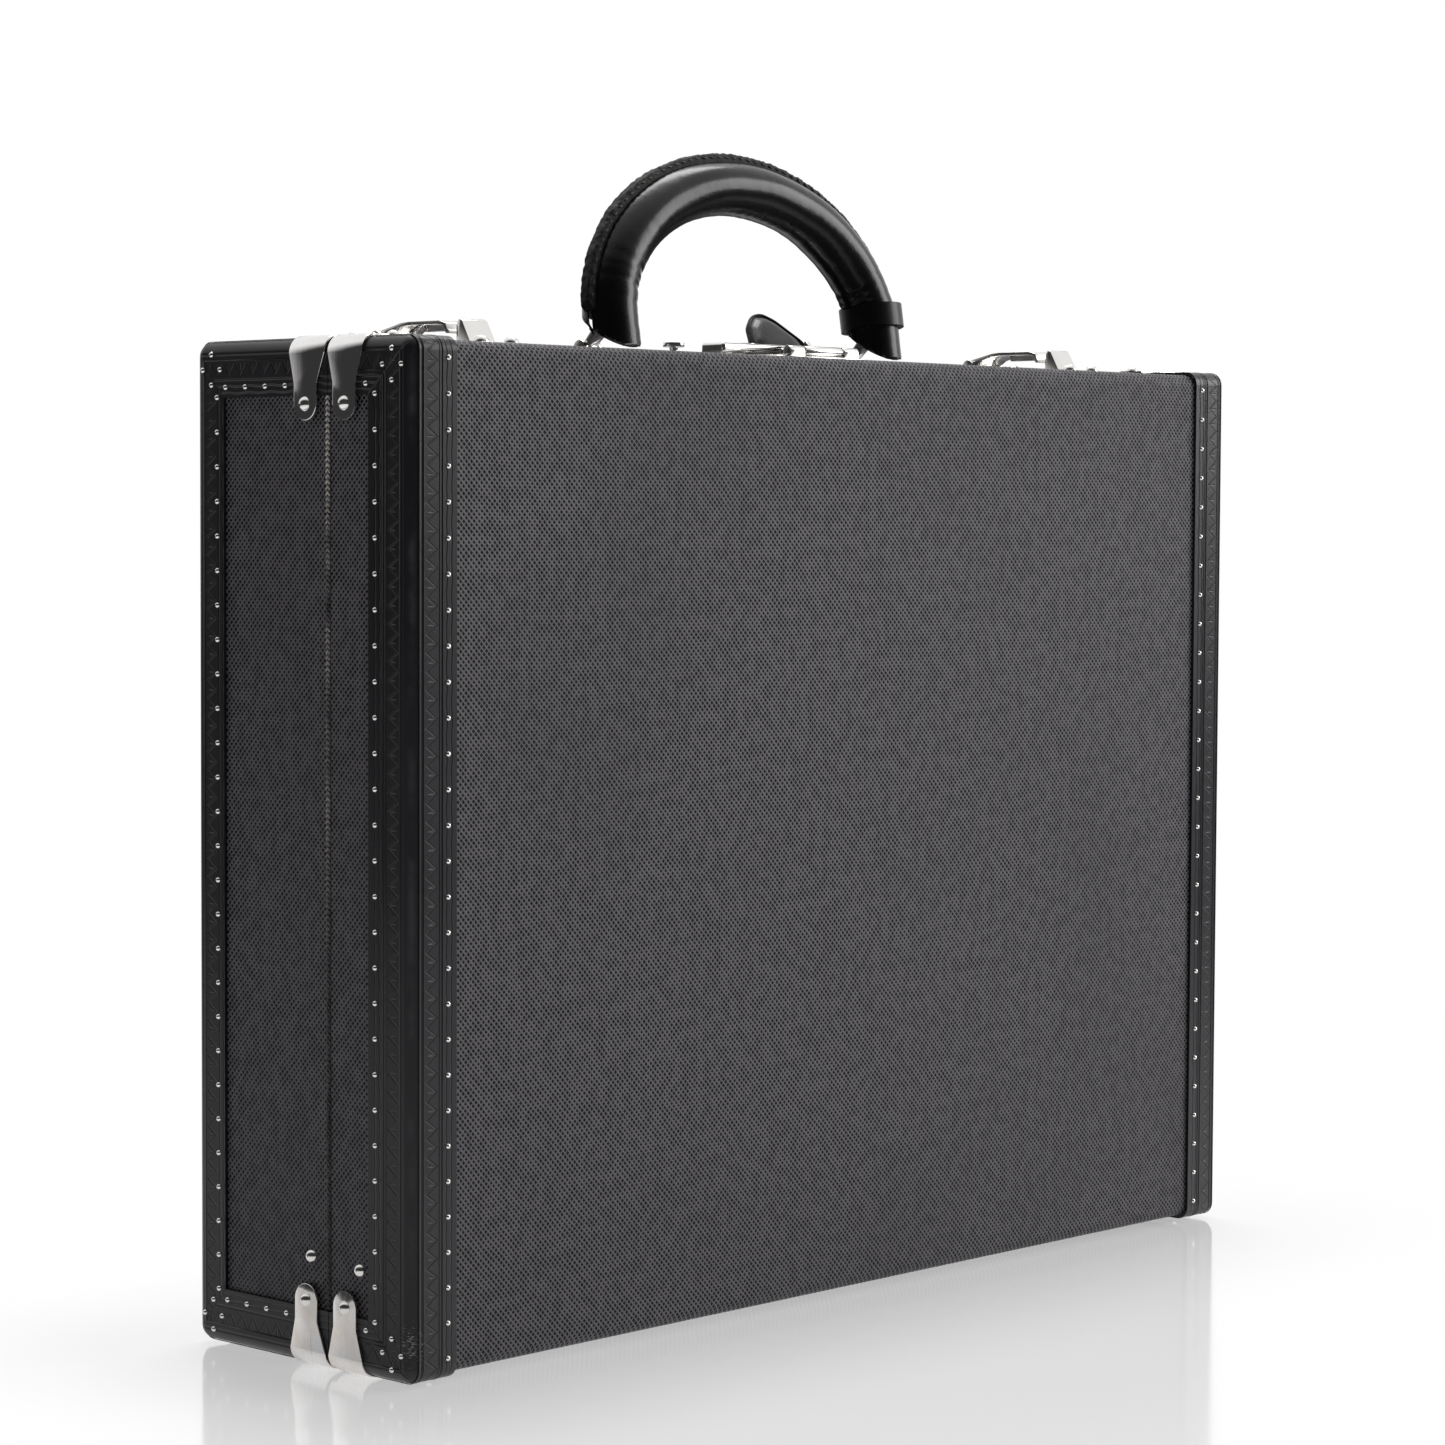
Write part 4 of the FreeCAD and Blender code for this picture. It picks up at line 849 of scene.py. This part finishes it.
@dataclass
class Handle:
    """The arched leather handle with its stitched ridge."""

    half_span: float = 73.0
    leg: float = 12.0
    rise: float = 54.5
    foot: Tuple[float, float, float] = (0.0, 2.0, 348.4)
    lean: float = 9.0
    radius: float = 10.2
    ridge_start: float = 15.5
    ridge_half: float = 2.7
    ridge_height: float = 3.0
    stitch_pitch: float = 3.6
    samples: int = 400
    spots: List[Vector] = field(default_factory=list)
    lengths: List[float] = field(default_factory=list)

    def up(self) -> Vector:
        """Return the direction in which the handle stands."""
        lean = math.radians(self.lean)
        return Vector((0.0, math.sin(lean), math.cos(lean)))

    def depth(self) -> Vector:
        """Return the direction across the handle's own plane."""
        return Vector((1.0, 0.0, 0.0)).cross(self.up()).normalized()

    def trace(self, start: float) -> None:
        """Walk the centre line and note how far along each point of it lies.

        Args:
            start: height above the foot where the walk starts and ends, in mm.
        """
        side, up, base = Vector((1.0, 0.0, 0.0)), self.up(), Vector(self.foot)
        first = math.asin(max(0.0, start - self.leg) / self.rise)
        turns = [first + (math.pi - 2 * first) * n / self.samples for n in range(self.samples + 1)]
        self.spots = [
            base - side * self.half_span * math.cos(a) + up * (self.leg + self.rise * math.sin(a))
            for a in turns
        ]
        if start < self.leg:
            self.spots.insert(0, base - side * self.half_span + up * start)
            self.spots.append(base + side * self.half_span + up * start)
        self.lengths = [0.0]
        for a, b in zip(self.spots, self.spots[1:]):
            self.lengths.append(self.lengths[-1] + (b - a).length)

    def total(self) -> float:
        """Return the length of the centre line, in mm."""
        return self.lengths[-1]

    def at(self, distance: float) -> Tuple[Vector, Vector]:
        """Return the place and the outward direction at a distance along the centre line.

        Args:
            distance: mm from the left end.

        Returns:
            The point in mm and the unit direction away from the middle of the arch.
        """
        number = min(max(bisect.bisect_right(self.lengths, distance) - 1, 0), len(self.spots) - 2)
        share = (distance - self.lengths[number]) / (self.lengths[number + 1] - self.lengths[number])
        ahead = self.spots[number + 1] - self.spots[number]
        spot = self.spots[number] + ahead * share
        return spot, self.depth().cross(ahead.normalized())

    def radius_at(self, distance: float, turn: float) -> float:
        """Return the leather's radius, with its creases and end folds.

        Args:
            distance: mm from the left end of the leather.
            turn: angle around it from the outward direction.

        Returns:
            The radius in mm.
        """
        near_end = min(distance, self.total() - distance)
        inner = max(0.0, -math.cos(turn))
        reach = self.radius
        for place, deep, wide in ((26.0, 0.55, 1.3), (29.5, 0.30, 1.0), (34.0, 0.35, 1.6), (19.0, 0.25, 1.2)):
            reach -= deep * math.exp(-(((near_end - place) / wide) ** 2)) * (0.25 + 0.75 * inner)
        swell = noise.noise(Vector((distance * 0.045, turn * 0.8, 3.1)))
        ripple = noise.noise(Vector((distance * 0.35, turn * 1.4, 9.7)))
        return reach + 0.28 * swell + 0.10 * ripple * (0.3 + inner)

    def grip(self) -> bpy.types.Object:
        """Make the leather tube of the handle, cut slanting at both ends.

        Returns:
            The tube.
        """
        self.trace(1.0)

        def shape(u: float, v: float) -> Vector:
            """Place one point of the leather.

            Args:
                u: share along the handle.
                v: share around it.

            Returns:
                The point in metres.
            """
            distance = u * self.total()
            turn = v * 2.0 * math.pi
            spot, outward = self.at(distance)
            reach = self.radius_at(distance, turn)
            wide = self.depth() * math.sin(turn) * reach
            return (spot + outward * math.cos(turn) * reach + wide) * MM

        tube = rolled_sheet(240, 40, shape)
        top = self.foot[2]
        low, high = Vector((0.0, -9.5, top + 1.6)), Vector((0.0, 14.0, top + 15.0))
        slope = Vector((0.0, -(high - low).z, (high - low).y)).normalized()
        bmesh.ops.bisect_plane(
            tube,
            geom=tube.verts[:] + tube.edges[:] + tube.faces[:],
            plane_co=low * MM,
            plane_no=slope,
            clear_inner=True,
        )
        rim = [e for e in tube.edges if e.is_boundary]
        bmesh.ops.holes_fill(tube, edges=rim, sides=0)
        rim = [e for e in tube.edges if len(e.link_faces) == 2 and e.calc_face_angle(0.0) > 0.7]
        bmesh.ops.bevel(
            tube, geom=rim, offset=1.1 * MM, affect="EDGES", segments=3, profile=0.5, material=-1
        )
        return mesh_piece("handle_leather", tube, SmoothLeather("handle_leather", roughness=0.20).build())

    def ridge(self) -> bpy.types.Object:
        """Make the raised seam that runs over the back of the handle.

        Returns:
            The ridge.
        """
        self.trace(self.ridge_start)
        around = 28

        def shape(u: float, v: float) -> Vector:
            """Place one point of the ridge.

            Args:
                u: share along the handle.
                v: share around the ridge.

            Returns:
                The point in metres.
            """
            distance = u * self.total()
            spot, outward = self.at(distance)
            turn = v * 2.0 * math.pi
            side, tall = math.sin(turn), math.cos(turn)
            wide = self.ridge_half * math.copysign(abs(side) ** 0.45, side)
            high = math.copysign(abs(tall) ** 0.45, tall)
            lift = self.radius + (self.ridge_height if high > 0 else 1.2) * high
            if high > 0.5:
                lift += 0.45 * noise.noise(Vector((distance * 0.9, wide * 0.9, 0.5)))
                lift += 0.25 * noise.noise(Vector((distance * 0.25, 4.0, 1.5)))
            wide *= 1.0 + 0.10 * noise.noise(Vector((distance * 0.4, 2.0, high)))
            end = min(u, 1.0 - u) * self.total()
            lift -= max(0.0, 1.0 - end / 3.0) ** 2 * 2.0
            return (spot + outward * lift + self.depth() * wide) * MM

        return mesh_piece("handle_ridge", rolled_sheet(420, around, shape), RawLeatherEdge().build())

    def stitches(self) -> bpy.types.Object:
        """Make the two rows of stitches beside the ridge.

        Returns:
            The stitches, as one piece.
        """
        self.trace(self.ridge_start)
        made = bmesh.new()
        count = int((self.total() - 8.0) / self.stitch_pitch)
        for n in range(count + 1):
            distance = 4.0 + n * self.stitch_pitch
            spot, outward = self.at(distance)
            along = (self.at(distance + 0.5)[0] - spot).normalized()
            for side in (-1.0, 1.0):
                where = spot + outward * (self.radius + 1.35)
                where += self.depth() * side * (self.ridge_half + 0.05)
                axes = Matrix((along, self.depth() * side, outward)).transposed().to_4x4()
                stretch = Matrix.Diagonal((1.25, 0.42, 0.42, 1.0))
                slant = Matrix.Rotation(0.25 * side, 4, "Y")
                place = Matrix.Translation(where * MM) @ axes @ slant @ stretch
                bmesh.ops.create_uvsphere(made, u_segments=8, v_segments=5, radius=MM, matrix=place)
        return mesh_piece("handle_stitches", made, Thread().build())

    def build(self) -> None:
        """Make the handle's pieces and put them on its body."""
        grip, ridge, stitches = self.grip(), self.ridge(), self.stitches()
        for piece in (grip, ridge, stitches):
            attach(piece, "handle")
        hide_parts("handle_grip")
        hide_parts("handle_spine")


def loop_point(loop: Sequence[Vector], share: float) -> Tuple[Vector, Vector]:
    """Walk a closed loop of points.

    Args:
        loop: the corners in order.
        share: how far round, from 0 to 1.

    Returns:
        The place and the unit direction of travel.
    """
    spans = [(b - a).length for a, b in zip(loop, [*loop[1:], loop[0]])]
    left = (share % 1.0) * sum(spans)
    for number, span in enumerate(spans):
        if left <= span or number == len(spans) - 1:
            start, end = loop[number], loop[(number + 1) % len(loop)]
            return start.lerp(end, min(left / max(span, 1e-9), 1.0)), (end - start).normalized()
        left -= span
    return loop[0], Vector((1.0, 0.0, 0.0))


@dataclass
class LuggageTag:
    """The leather tag on its strap, with a piped edge and stitches."""

    corners: Tuple[Tuple[float, float], ...] = (
        (0.9, 0.9), (1.6, 9.6), (5.6, 18.4), (11.4, 23.8), (16.6, 24.8), (21.8, 21.6), (26.8, 15.0),
        (30.1, 10.6), (30.1, 0.9),
    )
    thickness: float = 3.0
    tilt: float = 42.0
    spot: Tuple[float, float, float] = (26.5, 19.6, 351.0)
    crown: Tuple[Tuple[float, float], ...] = ((0.90, -0.45), (0.95, 0.35), (0.85, 0.55), (0.70, 0.25))
    piping_radius: float = 0.9
    stitch_pitch: float = 2.8

    def place(self, mesh: bmesh.types.BMesh) -> None:
        """Tilt a flat piece and set it on the case.

        Args:
            mesh: the piece, moved in place.
        """
        turn = Matrix.Rotation(math.radians(-self.tilt), 4, "X")
        move = Matrix.Translation(Vector(self.spot) * MM)
        bmesh.ops.transform(mesh, matrix=move @ turn, verts=mesh.verts)

    def sheet(self) -> bmesh.types.BMesh:
        """Make the flat bell outline with rounded corners.

        Returns:
            A mesh of one face.
        """
        made = bmesh.new()
        made.faces.new([made.verts.new((a * MM, 0.0, b * MM)) for a, b in self.corners])
        bmesh.ops.bevel(
            made, geom=made.verts[:], offset=1.6 * MM, affect="VERTICES", segments=4, profile=0.5, material=-1
        )
        return made

    def loop(self, inset: float = 0.0) -> List[Vector]:
        """Read the outline's points.

        Args:
            inset: how far inside the edge they lie, in mm.

        Returns:
            The points in order, in mm.
        """
        made = self.sheet()
        if inset:
            bmesh.ops.inset_region(made, faces=made.faces[:], thickness=inset * MM, use_even_offset=True)
        face = max(made.faces, key=lambda f: f.calc_area())
        points = [v.co / MM for v in face.verts]
        made.free()
        return points

    def pad(self) -> bpy.types.Object:
        """Make the padded leather of the tag.

        Returns:
            The pad.
        """
        made = self.sheet()
        grown = bmesh.ops.extrude_face_region(made, geom=made.faces[:])
        moved = [e for e in grown["geom"] if isinstance(e, bmesh.types.BMVert)]
        bmesh.ops.translate(made, verts=moved, vec=(0.0, self.thickness * MM, 0.0))
        caps = sorted(made.faces, key=lambda f: -f.calc_area())[:2]
        for cap in caps:
            outward = -1.0 if cap.calc_center_median().y < self.thickness * MM / 2 else 1.0
            for shrink, lift in self.crown:
                bmesh.ops.inset_region(made, faces=[cap], thickness=0.01 * MM)
                middle = cap.calc_center_median()
                space = Matrix.Translation(-middle)
                bmesh.ops.scale(made, vec=(shrink, 1.0, shrink), space=space, verts=cap.verts[:])
                bmesh.ops.translate(made, verts=cap.verts[:], vec=(0.0, outward * lift * MM, 0.0))
        self.place(made)
        return mesh_piece("tag_leather", made, SmoothLeather("tag_leather", roughness=0.24).build())

    def piping(self) -> bpy.types.Object:
        """Make the rolled edge around the tag.

        Returns:
            The piping.
        """
        loop = self.loop()

        def shape(u: float, v: float) -> Vector:
            """Place one point of the rolled edge.

            Args:
                u: share round the tag.
                v: share around the roll.

            Returns:
                The point in metres.
            """
            spot, ahead = loop_point(loop, u)
            outward = Vector((ahead.z, 0.0, -ahead.x))
            turn = v * 2.0 * math.pi
            sideways = Vector((0.0, self.thickness / 2 + math.sin(turn) * 1.75, 0.0))
            return (spot + outward * math.cos(turn) * self.piping_radius + sideways) * MM

        made = rolled_sheet(120, 14, shape)
        self.place(made)
        return mesh_piece("tag_piping", made, RawLeatherEdge("tag_edge").build())

    def stitches(self) -> bpy.types.Object:
        """Make the row of stitches inside the tag's edge.

        Returns:
            The stitches, as one piece.
        """
        made = bmesh.new()
        loop = self.loop(2.2)
        length = sum((b - a).length for a, b in zip(loop, [*loop[1:], loop[0]]))
        count = int(length / self.stitch_pitch)
        for n in range(count):
            spot, ahead = loop_point(loop, n / count)
            spot = spot + Vector((0.0, 0.12, 0.0))
            through = Vector((0.0, 1.0, 0.0))
            axes = Matrix((ahead, through, ahead.cross(through))).transposed().to_4x4()
            where = Matrix.Translation(spot * MM) @ axes @ Matrix.Diagonal((0.95, 0.32, 0.32, 1.0))
            bmesh.ops.create_uvsphere(made, u_segments=8, v_segments=5, radius=MM, matrix=where)
        self.place(made)
        return mesh_piece("tag_stitches", made, Thread("tag_thread").build())

    def build(self) -> None:
        """Make the tag's pieces and put them on its body."""
        pad, piping, stitches = self.pad(), self.piping(), self.stitches()
        for piece in (pad, piping, stitches):
            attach(piece, "tag")
        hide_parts("tag_body")
        strap = SmoothLeather("strap_leather", roughness=0.30).build()
        dress(["tag_strap", "tag_loop"], strap)


@dataclass
class MouthBraid:
    """The braided edging that shows in the gap between the halves."""

    face_x: float = 223.8
    centre_y: float = -13.25
    low: float = 22.0
    high: float = 346.0
    pitch: float = 1.9
    strand: Tuple[float, float, float] = (1.25, 0.42, 0.42)
    slant: float = 35.0
    apart: float = 0.38
    proud: float = 0.12

    def build(self) -> None:
        """Make the braid of each end and put it on the case."""
        finish = BraidedTrim().build()
        for side, name in ((-1.0, "left"), (1.0, "right")):
            made = bmesh.new()
            count = int((self.high - self.low) / self.pitch)
            for n in range(count):
                for lean in (-1.0, 1.0):
                    height = self.low + n * self.pitch
                    x, y = side * (self.face_x + self.proud), self.centre_y + lean * self.apart
                    spot = Vector((x, y, height))
                    upright = Matrix.Rotation(math.pi / 2, 4, "Y")
                    turn = Matrix.Rotation(math.radians(lean * self.slant), 4, "X") @ upright
                    where = Matrix.Translation(spot * MM) @ turn @ Matrix.Diagonal((*self.strand, 1.0))
                    bmesh.ops.create_uvsphere(made, u_segments=6, v_segments=4, radius=MM, matrix=where)
            piece = mesh_piece(f"mouth_braid_{name}", made, finish)
            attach(piece, "case")


@dataclass
class BindingWelts:
    """The raised lines pressed into the bindings, run round each half at both ends."""

    offsets: Tuple[float, ...] = (3.6, 5.6, 12.7, 14.1)
    half_width: float = 225.0
    half_depth: float = 56.0
    low: float = 1.6
    high: float = 349.6
    radius: float = 5.2
    mouths: Tuple[float, float] = (-14.9, -14.0)
    thick: float = 0.34
    proud: float = 0.16
    section: Tuple[Tuple[float, float], ...] = ((-1.0, -0.3), (-0.55, 0.8), (0.55, 0.8), (1.0, -0.3))
    turn_steps: int = 6
    sides: Tuple[float, float] = (-1.0, 1.0)
    seam: float = -14.5
    level: float = 19.5
    strips: Tuple[float, float] = (16.0, 21.3)
    clip_reach: float = 29.8
    clip_stops: Tuple[float, float] = (5.4, -33.5)

    def band(self, half: str) -> List[Vector]:
        """Work out the centre line round one half, on the plane across X.

        Args:
            half: body or lid.

        Returns:
            Its points in mm.
        """
        out = 1.0 if half == "body" else -1.0
        mouth = self.mouths[1] if half == "body" else self.mouths[0]
        face = out * self.half_depth
        points = [Vector((0.0, mouth + out * 3.0, self.low))]
        for level, sign in ((self.low, 1.0), (self.high, -1.0)):
            centre = Vector((0.0, face - out * self.radius, level + sign * self.radius))
            arc = [math.pi / 2 * n / self.turn_steps for n in range(self.turn_steps + 1)]
            bend = [
                centre + Vector((0.0, out * math.sin(a), -sign * math.cos(a))) * self.radius for a in arc
            ]
            points += bend if sign > 0 else bend[::-1]
        points.append(Vector((0.0, mouth + out * 3.0, self.high)))
        return points

    def rail(
        self,
        made: bmesh.types.BMesh,
        points: Sequence[Vector],
        across: Vector,
        lift: Callable[[int], Vector],
    ) -> None:
        """Lay one half-round line along points.

        Args:
            made: the mesh that takes it.
            points: its centre line in mm.
            across: the direction along the surface and square to the line.
            lift: gives the outward direction at a point's number.
        """
        cap = made.faces.new([made.verts.new() for _ in self.section])
        for number, spot in enumerate(points):
            if number:
                base = cap
                grown = bmesh.ops.extrude_face_region(made, geom=[base])["geom"]
                cap = next(g for g in grown if isinstance(g, bmesh.types.BMFace))
                if number > 1:
                    bmesh.ops.delete(made, geom=[base], context="FACES_ONLY")
            for vert, (side, rise) in zip(cap.verts, self.section):
                vert.co = (spot + across * side * self.thick + lift(number) * rise * self.proud) * MM

    def build(self) -> None:
        """Make the welts of each half."""
        finish = SmoothLeather("welt_leather", (0.011, 0.0105, 0.014), (0.030, 0.029, 0.035), 0.34).build()
        for half in ("body", "lid"):
            made = bmesh.new()
            points = self.band(half)
            inward = 35.0 if half == "body" else -20.0
            middle = Vector((0.0, self.seam + inward, (self.low + self.high) / 2))

            def lift(number: int) -> Vector:
                """Find the outward direction at one point of the band.

                Args:
                    number: the point's number.

                Returns:
                    The unit direction.
                """
                a, b = points[max(number - 1, 0)], points[min(number + 1, len(points) - 1)]
                normal = (b - a).cross(Vector((1.0, 0.0, 0.0))).normalized()
                return normal if normal.dot(points[number] - middle) > 0 else -normal

            for side in self.sides:
                for offset in self.offsets:
                    shift = Vector((side * (self.half_width - offset), 0.0, 0.0))
                    self.rail(made, [p + shift for p in points], Vector((1.0, 0.0, 0.0)), lift)
            self.upright_lines(made, half)
            piece = mesh_piece(f"{half}_binding_welts", made, finish)
            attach(piece, "case" if half == "body" else "lid")

    def upright_lines(self, made: bmesh.types.BMesh, half: str) -> None:
        """Lay the lines of the end faces, mitred at the corners.

        Args:
            made: the mesh that takes them.
            half: body or lid.
        """
        out = 1.0 if half == "body" else -1.0
        face = out * self.half_depth
        number = ("body", "lid").index(half)
        strip = self.strips[number]
        for side in self.sides:
            outward = Vector((side, 0.0, 0.0))
            for offset in self.offsets[1:]:
                if offset > strip - 4.0:
                    continue
                y = face - out * offset
                rise = offset * self.level / strip
                ends = (self.low + rise, self.high - rise)
                x = side * self.half_width
                upright = [Vector((x, y, e)) for e in ends]
                self.rail(made, upright, Vector((0.0, 1.0, 0.0)), lambda n: outward)
                for height in ends:
                    line = [Vector((x, y, height)), Vector((x, self.seam + out, height))]
                    if min(abs(height - self.high), abs(height - self.low)) < self.clip_reach:
                        line[1] = Vector((x, self.clip_stops[number], height))
                    if (line[1].y - y) * out < -3.0:
                        self.rail(made, line, Vector((0.0, 0.0, 1.0)), lambda n: outward)


@dataclass(frozen=True)
class Lamp:
    """One soft rectangular lamp: its place and size in metres, and its watts."""

    name: str
    where: Tuple[float, float, float]
    size: Tuple[float, float]
    power: float


@dataclass
class Studio:
    """Floor, lamps, world and camera."""

    eye: Tuple[float, float, float] = (-1.07685, -0.99819, 0.29150)
    yaw: float = 46.727
    pitch: float = -3.105
    roll: float = 0.264
    sensor: float = 36.0
    lens: float = 96.307848
    floor_tone: float = 0.88
    floor_half: float = 30.0
    footprint: Tuple[float, float] = (0.225, 0.056)
    bright_side: Tuple[float, float, float] = (0.62, 0.45, 0.64)
    dim: float = 0.04
    aim: Tuple[float, float, float] = (0.0, 0.0, 0.2)
    lamps: Tuple[Lamp, ...] = (
        Lamp("key_right", (1.75, -1.25, 1.0), (1.1, 1.2), 26.0),
        Lamp("top", (0.6, 0.55, 1.8), (1.2, 0.5), 16.0),
    )

    def floor(self) -> None:
        """Make the glossy floor, which keeps the shadow under the case.

        Its white is the surround seen through it, so that the open lid, which hangs below the
        case's foot, stays in sight.
        """
        made = bmesh.new()
        bmesh.ops.create_grid(made, x_segments=2, y_segments=2, size=self.floor_half)
        g = Finish("studio_floor")
        x, y, _ = g.coordinates()
        beside, before = ((abs(v) - half).most(0.0) for v, half in zip((x, y), self.footprint))
        away = (beside * beside + before * before).power(0.5)
        smudge = g.noise(1.5, 3.0)
        tone = g.blend(smudge * 0.3, (self.floor_tone,) * 3, (self.floor_tone * 0.97,) * 3)
        g.finish(tone, 0.5 + smudge * 0.05, Specular_IOR_Level=0.0)
        white = g.node("ShaderNodeEmission", inputs={"Color": WHITE, "Strength": 1.0})
        direct, mirrored = g.seen_directly()
        shadow = Value(g, g.node("ShaderNodeLightPath").outputs["Is Shadow Ray"])
        bright = g.ramp(away, 0.0, 0.12, 0.66, 1.0)
        dim = g.node("ShaderNodeEmission", inputs={"Color": WHITE, "Strength": self.dim})
        fading = g.ramp(away, 0.35, 1.20)
        far = g.node("ShaderNodeMixShader", inputs={0: fading, 1: white.outputs[0], 2: dim.outputs[0]})
        lit = g.node(
            "ShaderNodeMixShader", inputs={0: bright * mirrored, 1: g.shader.outputs[0], 2: far.outputs[0]}
        )
        clear = g.node("ShaderNodeBsdfTransparent")
        open_share = bright * direct.most(shadow)
        shown = g.node("ShaderNodeMixShader", inputs={0: open_share, 1: lit.outputs[0], 2: clear.outputs[0]})
        sheen = g.node("ShaderNodeBsdfAnisotropic", inputs={"Color": WHITE, "Roughness": 0.10})
        share = Value(g, g.node("ShaderNodeFresnel", inputs={"IOR": 1.42}).outputs[0])
        near = share * g.ramp(away, 0.15, 0.70, 1.0, 0.0)
        mixed = g.node("ShaderNodeMixShader", inputs={0: near, 1: shown.outputs[0], 2: sheen.outputs[0]})
        g.feed(g.output.inputs["Surface"], mixed.outputs[0])
        mesh_piece("studio_floor", made, g.material)

    def world(self) -> None:
        """Make the surround: white to look at and in metal behind the case, dim where the room is."""
        world = bpy.data.worlds.new("studio_world")
        bpy.context.scene.world = world
        world.use_nodes = True
        g = Graph(world.node_tree)
        sky = g.node("ShaderNodeTexCoord").outputs["Generated"]
        towards = g.node("ShaderNodeVectorMath", {"operation": "DOT_PRODUCT"}, {0: sky, 1: self.bright_side})
        bearing = Value(g, towards.outputs["Value"])
        glow = g.ramp(bearing, 0.05, 0.95, 0.02, 0.80)
        direct, mirrored = g.seen_directly()
        surround = g.ramp(bearing, -0.02, 0.55, self.dim, 1.0)
        strength = g.choose(direct, g.choose(mirrored, glow, surround), 1.0)
        back = g.node("ShaderNodeBackground", inputs={"Color": WHITE, "Strength": strength})
        g.node("ShaderNodeOutputWorld", inputs={"Surface": back.outputs[0]})

    def light(self, lamp: Lamp) -> None:
        """Add one lamp that looks at the case.

        Args:
            lamp: its name, place, size and power.
        """
        data = bpy.data.lights.new(lamp.name, "AREA")
        data.shape = "RECTANGLE"
        data.size, data.size_y = lamp.size
        data.energy = lamp.power
        made = bpy.data.objects.new(lamp.name, data)
        bpy.context.scene.collection.objects.link(made)
        made.location = lamp.where
        made.rotation_euler = (Vector(self.aim) - Vector(lamp.where)).to_track_quat("-Z", "Y").to_euler()

    def camera(self) -> None:
        """Set the camera at its solved place."""
        yaw, pitch, roll = (math.radians(v) for v in (self.yaw, self.pitch, self.roll))
        look = Vector((math.sin(yaw) * math.cos(pitch), math.cos(yaw) * math.cos(pitch), math.sin(pitch)))
        right = Vector((math.cos(yaw), -math.sin(yaw), 0.0))
        up = right.cross(look)
        tilted_right = right * math.cos(roll) + up * math.sin(roll)
        tilted_up = tilted_right.cross(look)
        data = bpy.data.cameras.new("camera")
        data.sensor_width = self.sensor
        data.lens = self.lens
        data.clip_start = 0.05
        data.clip_end = 80.0
        made = bpy.data.objects.new("camera", data)
        bpy.context.scene.collection.objects.link(made)
        turn = Matrix((tilted_right, tilted_up, -look)).transposed().to_4x4()
        made.matrix_world = Matrix.Translation(self.eye) @ turn
        bpy.context.scene.camera = made

    def build(self) -> None:
        """Make the whole studio."""
        self.floor()
        self.world()
        for lamp in self.lamps:
            self.light(lamp)
        self.camera()
        bpy.context.scene.view_settings.view_transform = "Standard"


def main() -> None:
    """Build the case and its studio."""
    for part in (Shells(), BindingWelts(), MouthBraid(), Fittings(), Handle(), LuggageTag(), Studio()):
        log.info("building %s", type(part).__name__)
        part.build()
    bpy.context.view_layer.update()


if __name__ == "__main__":
    main()
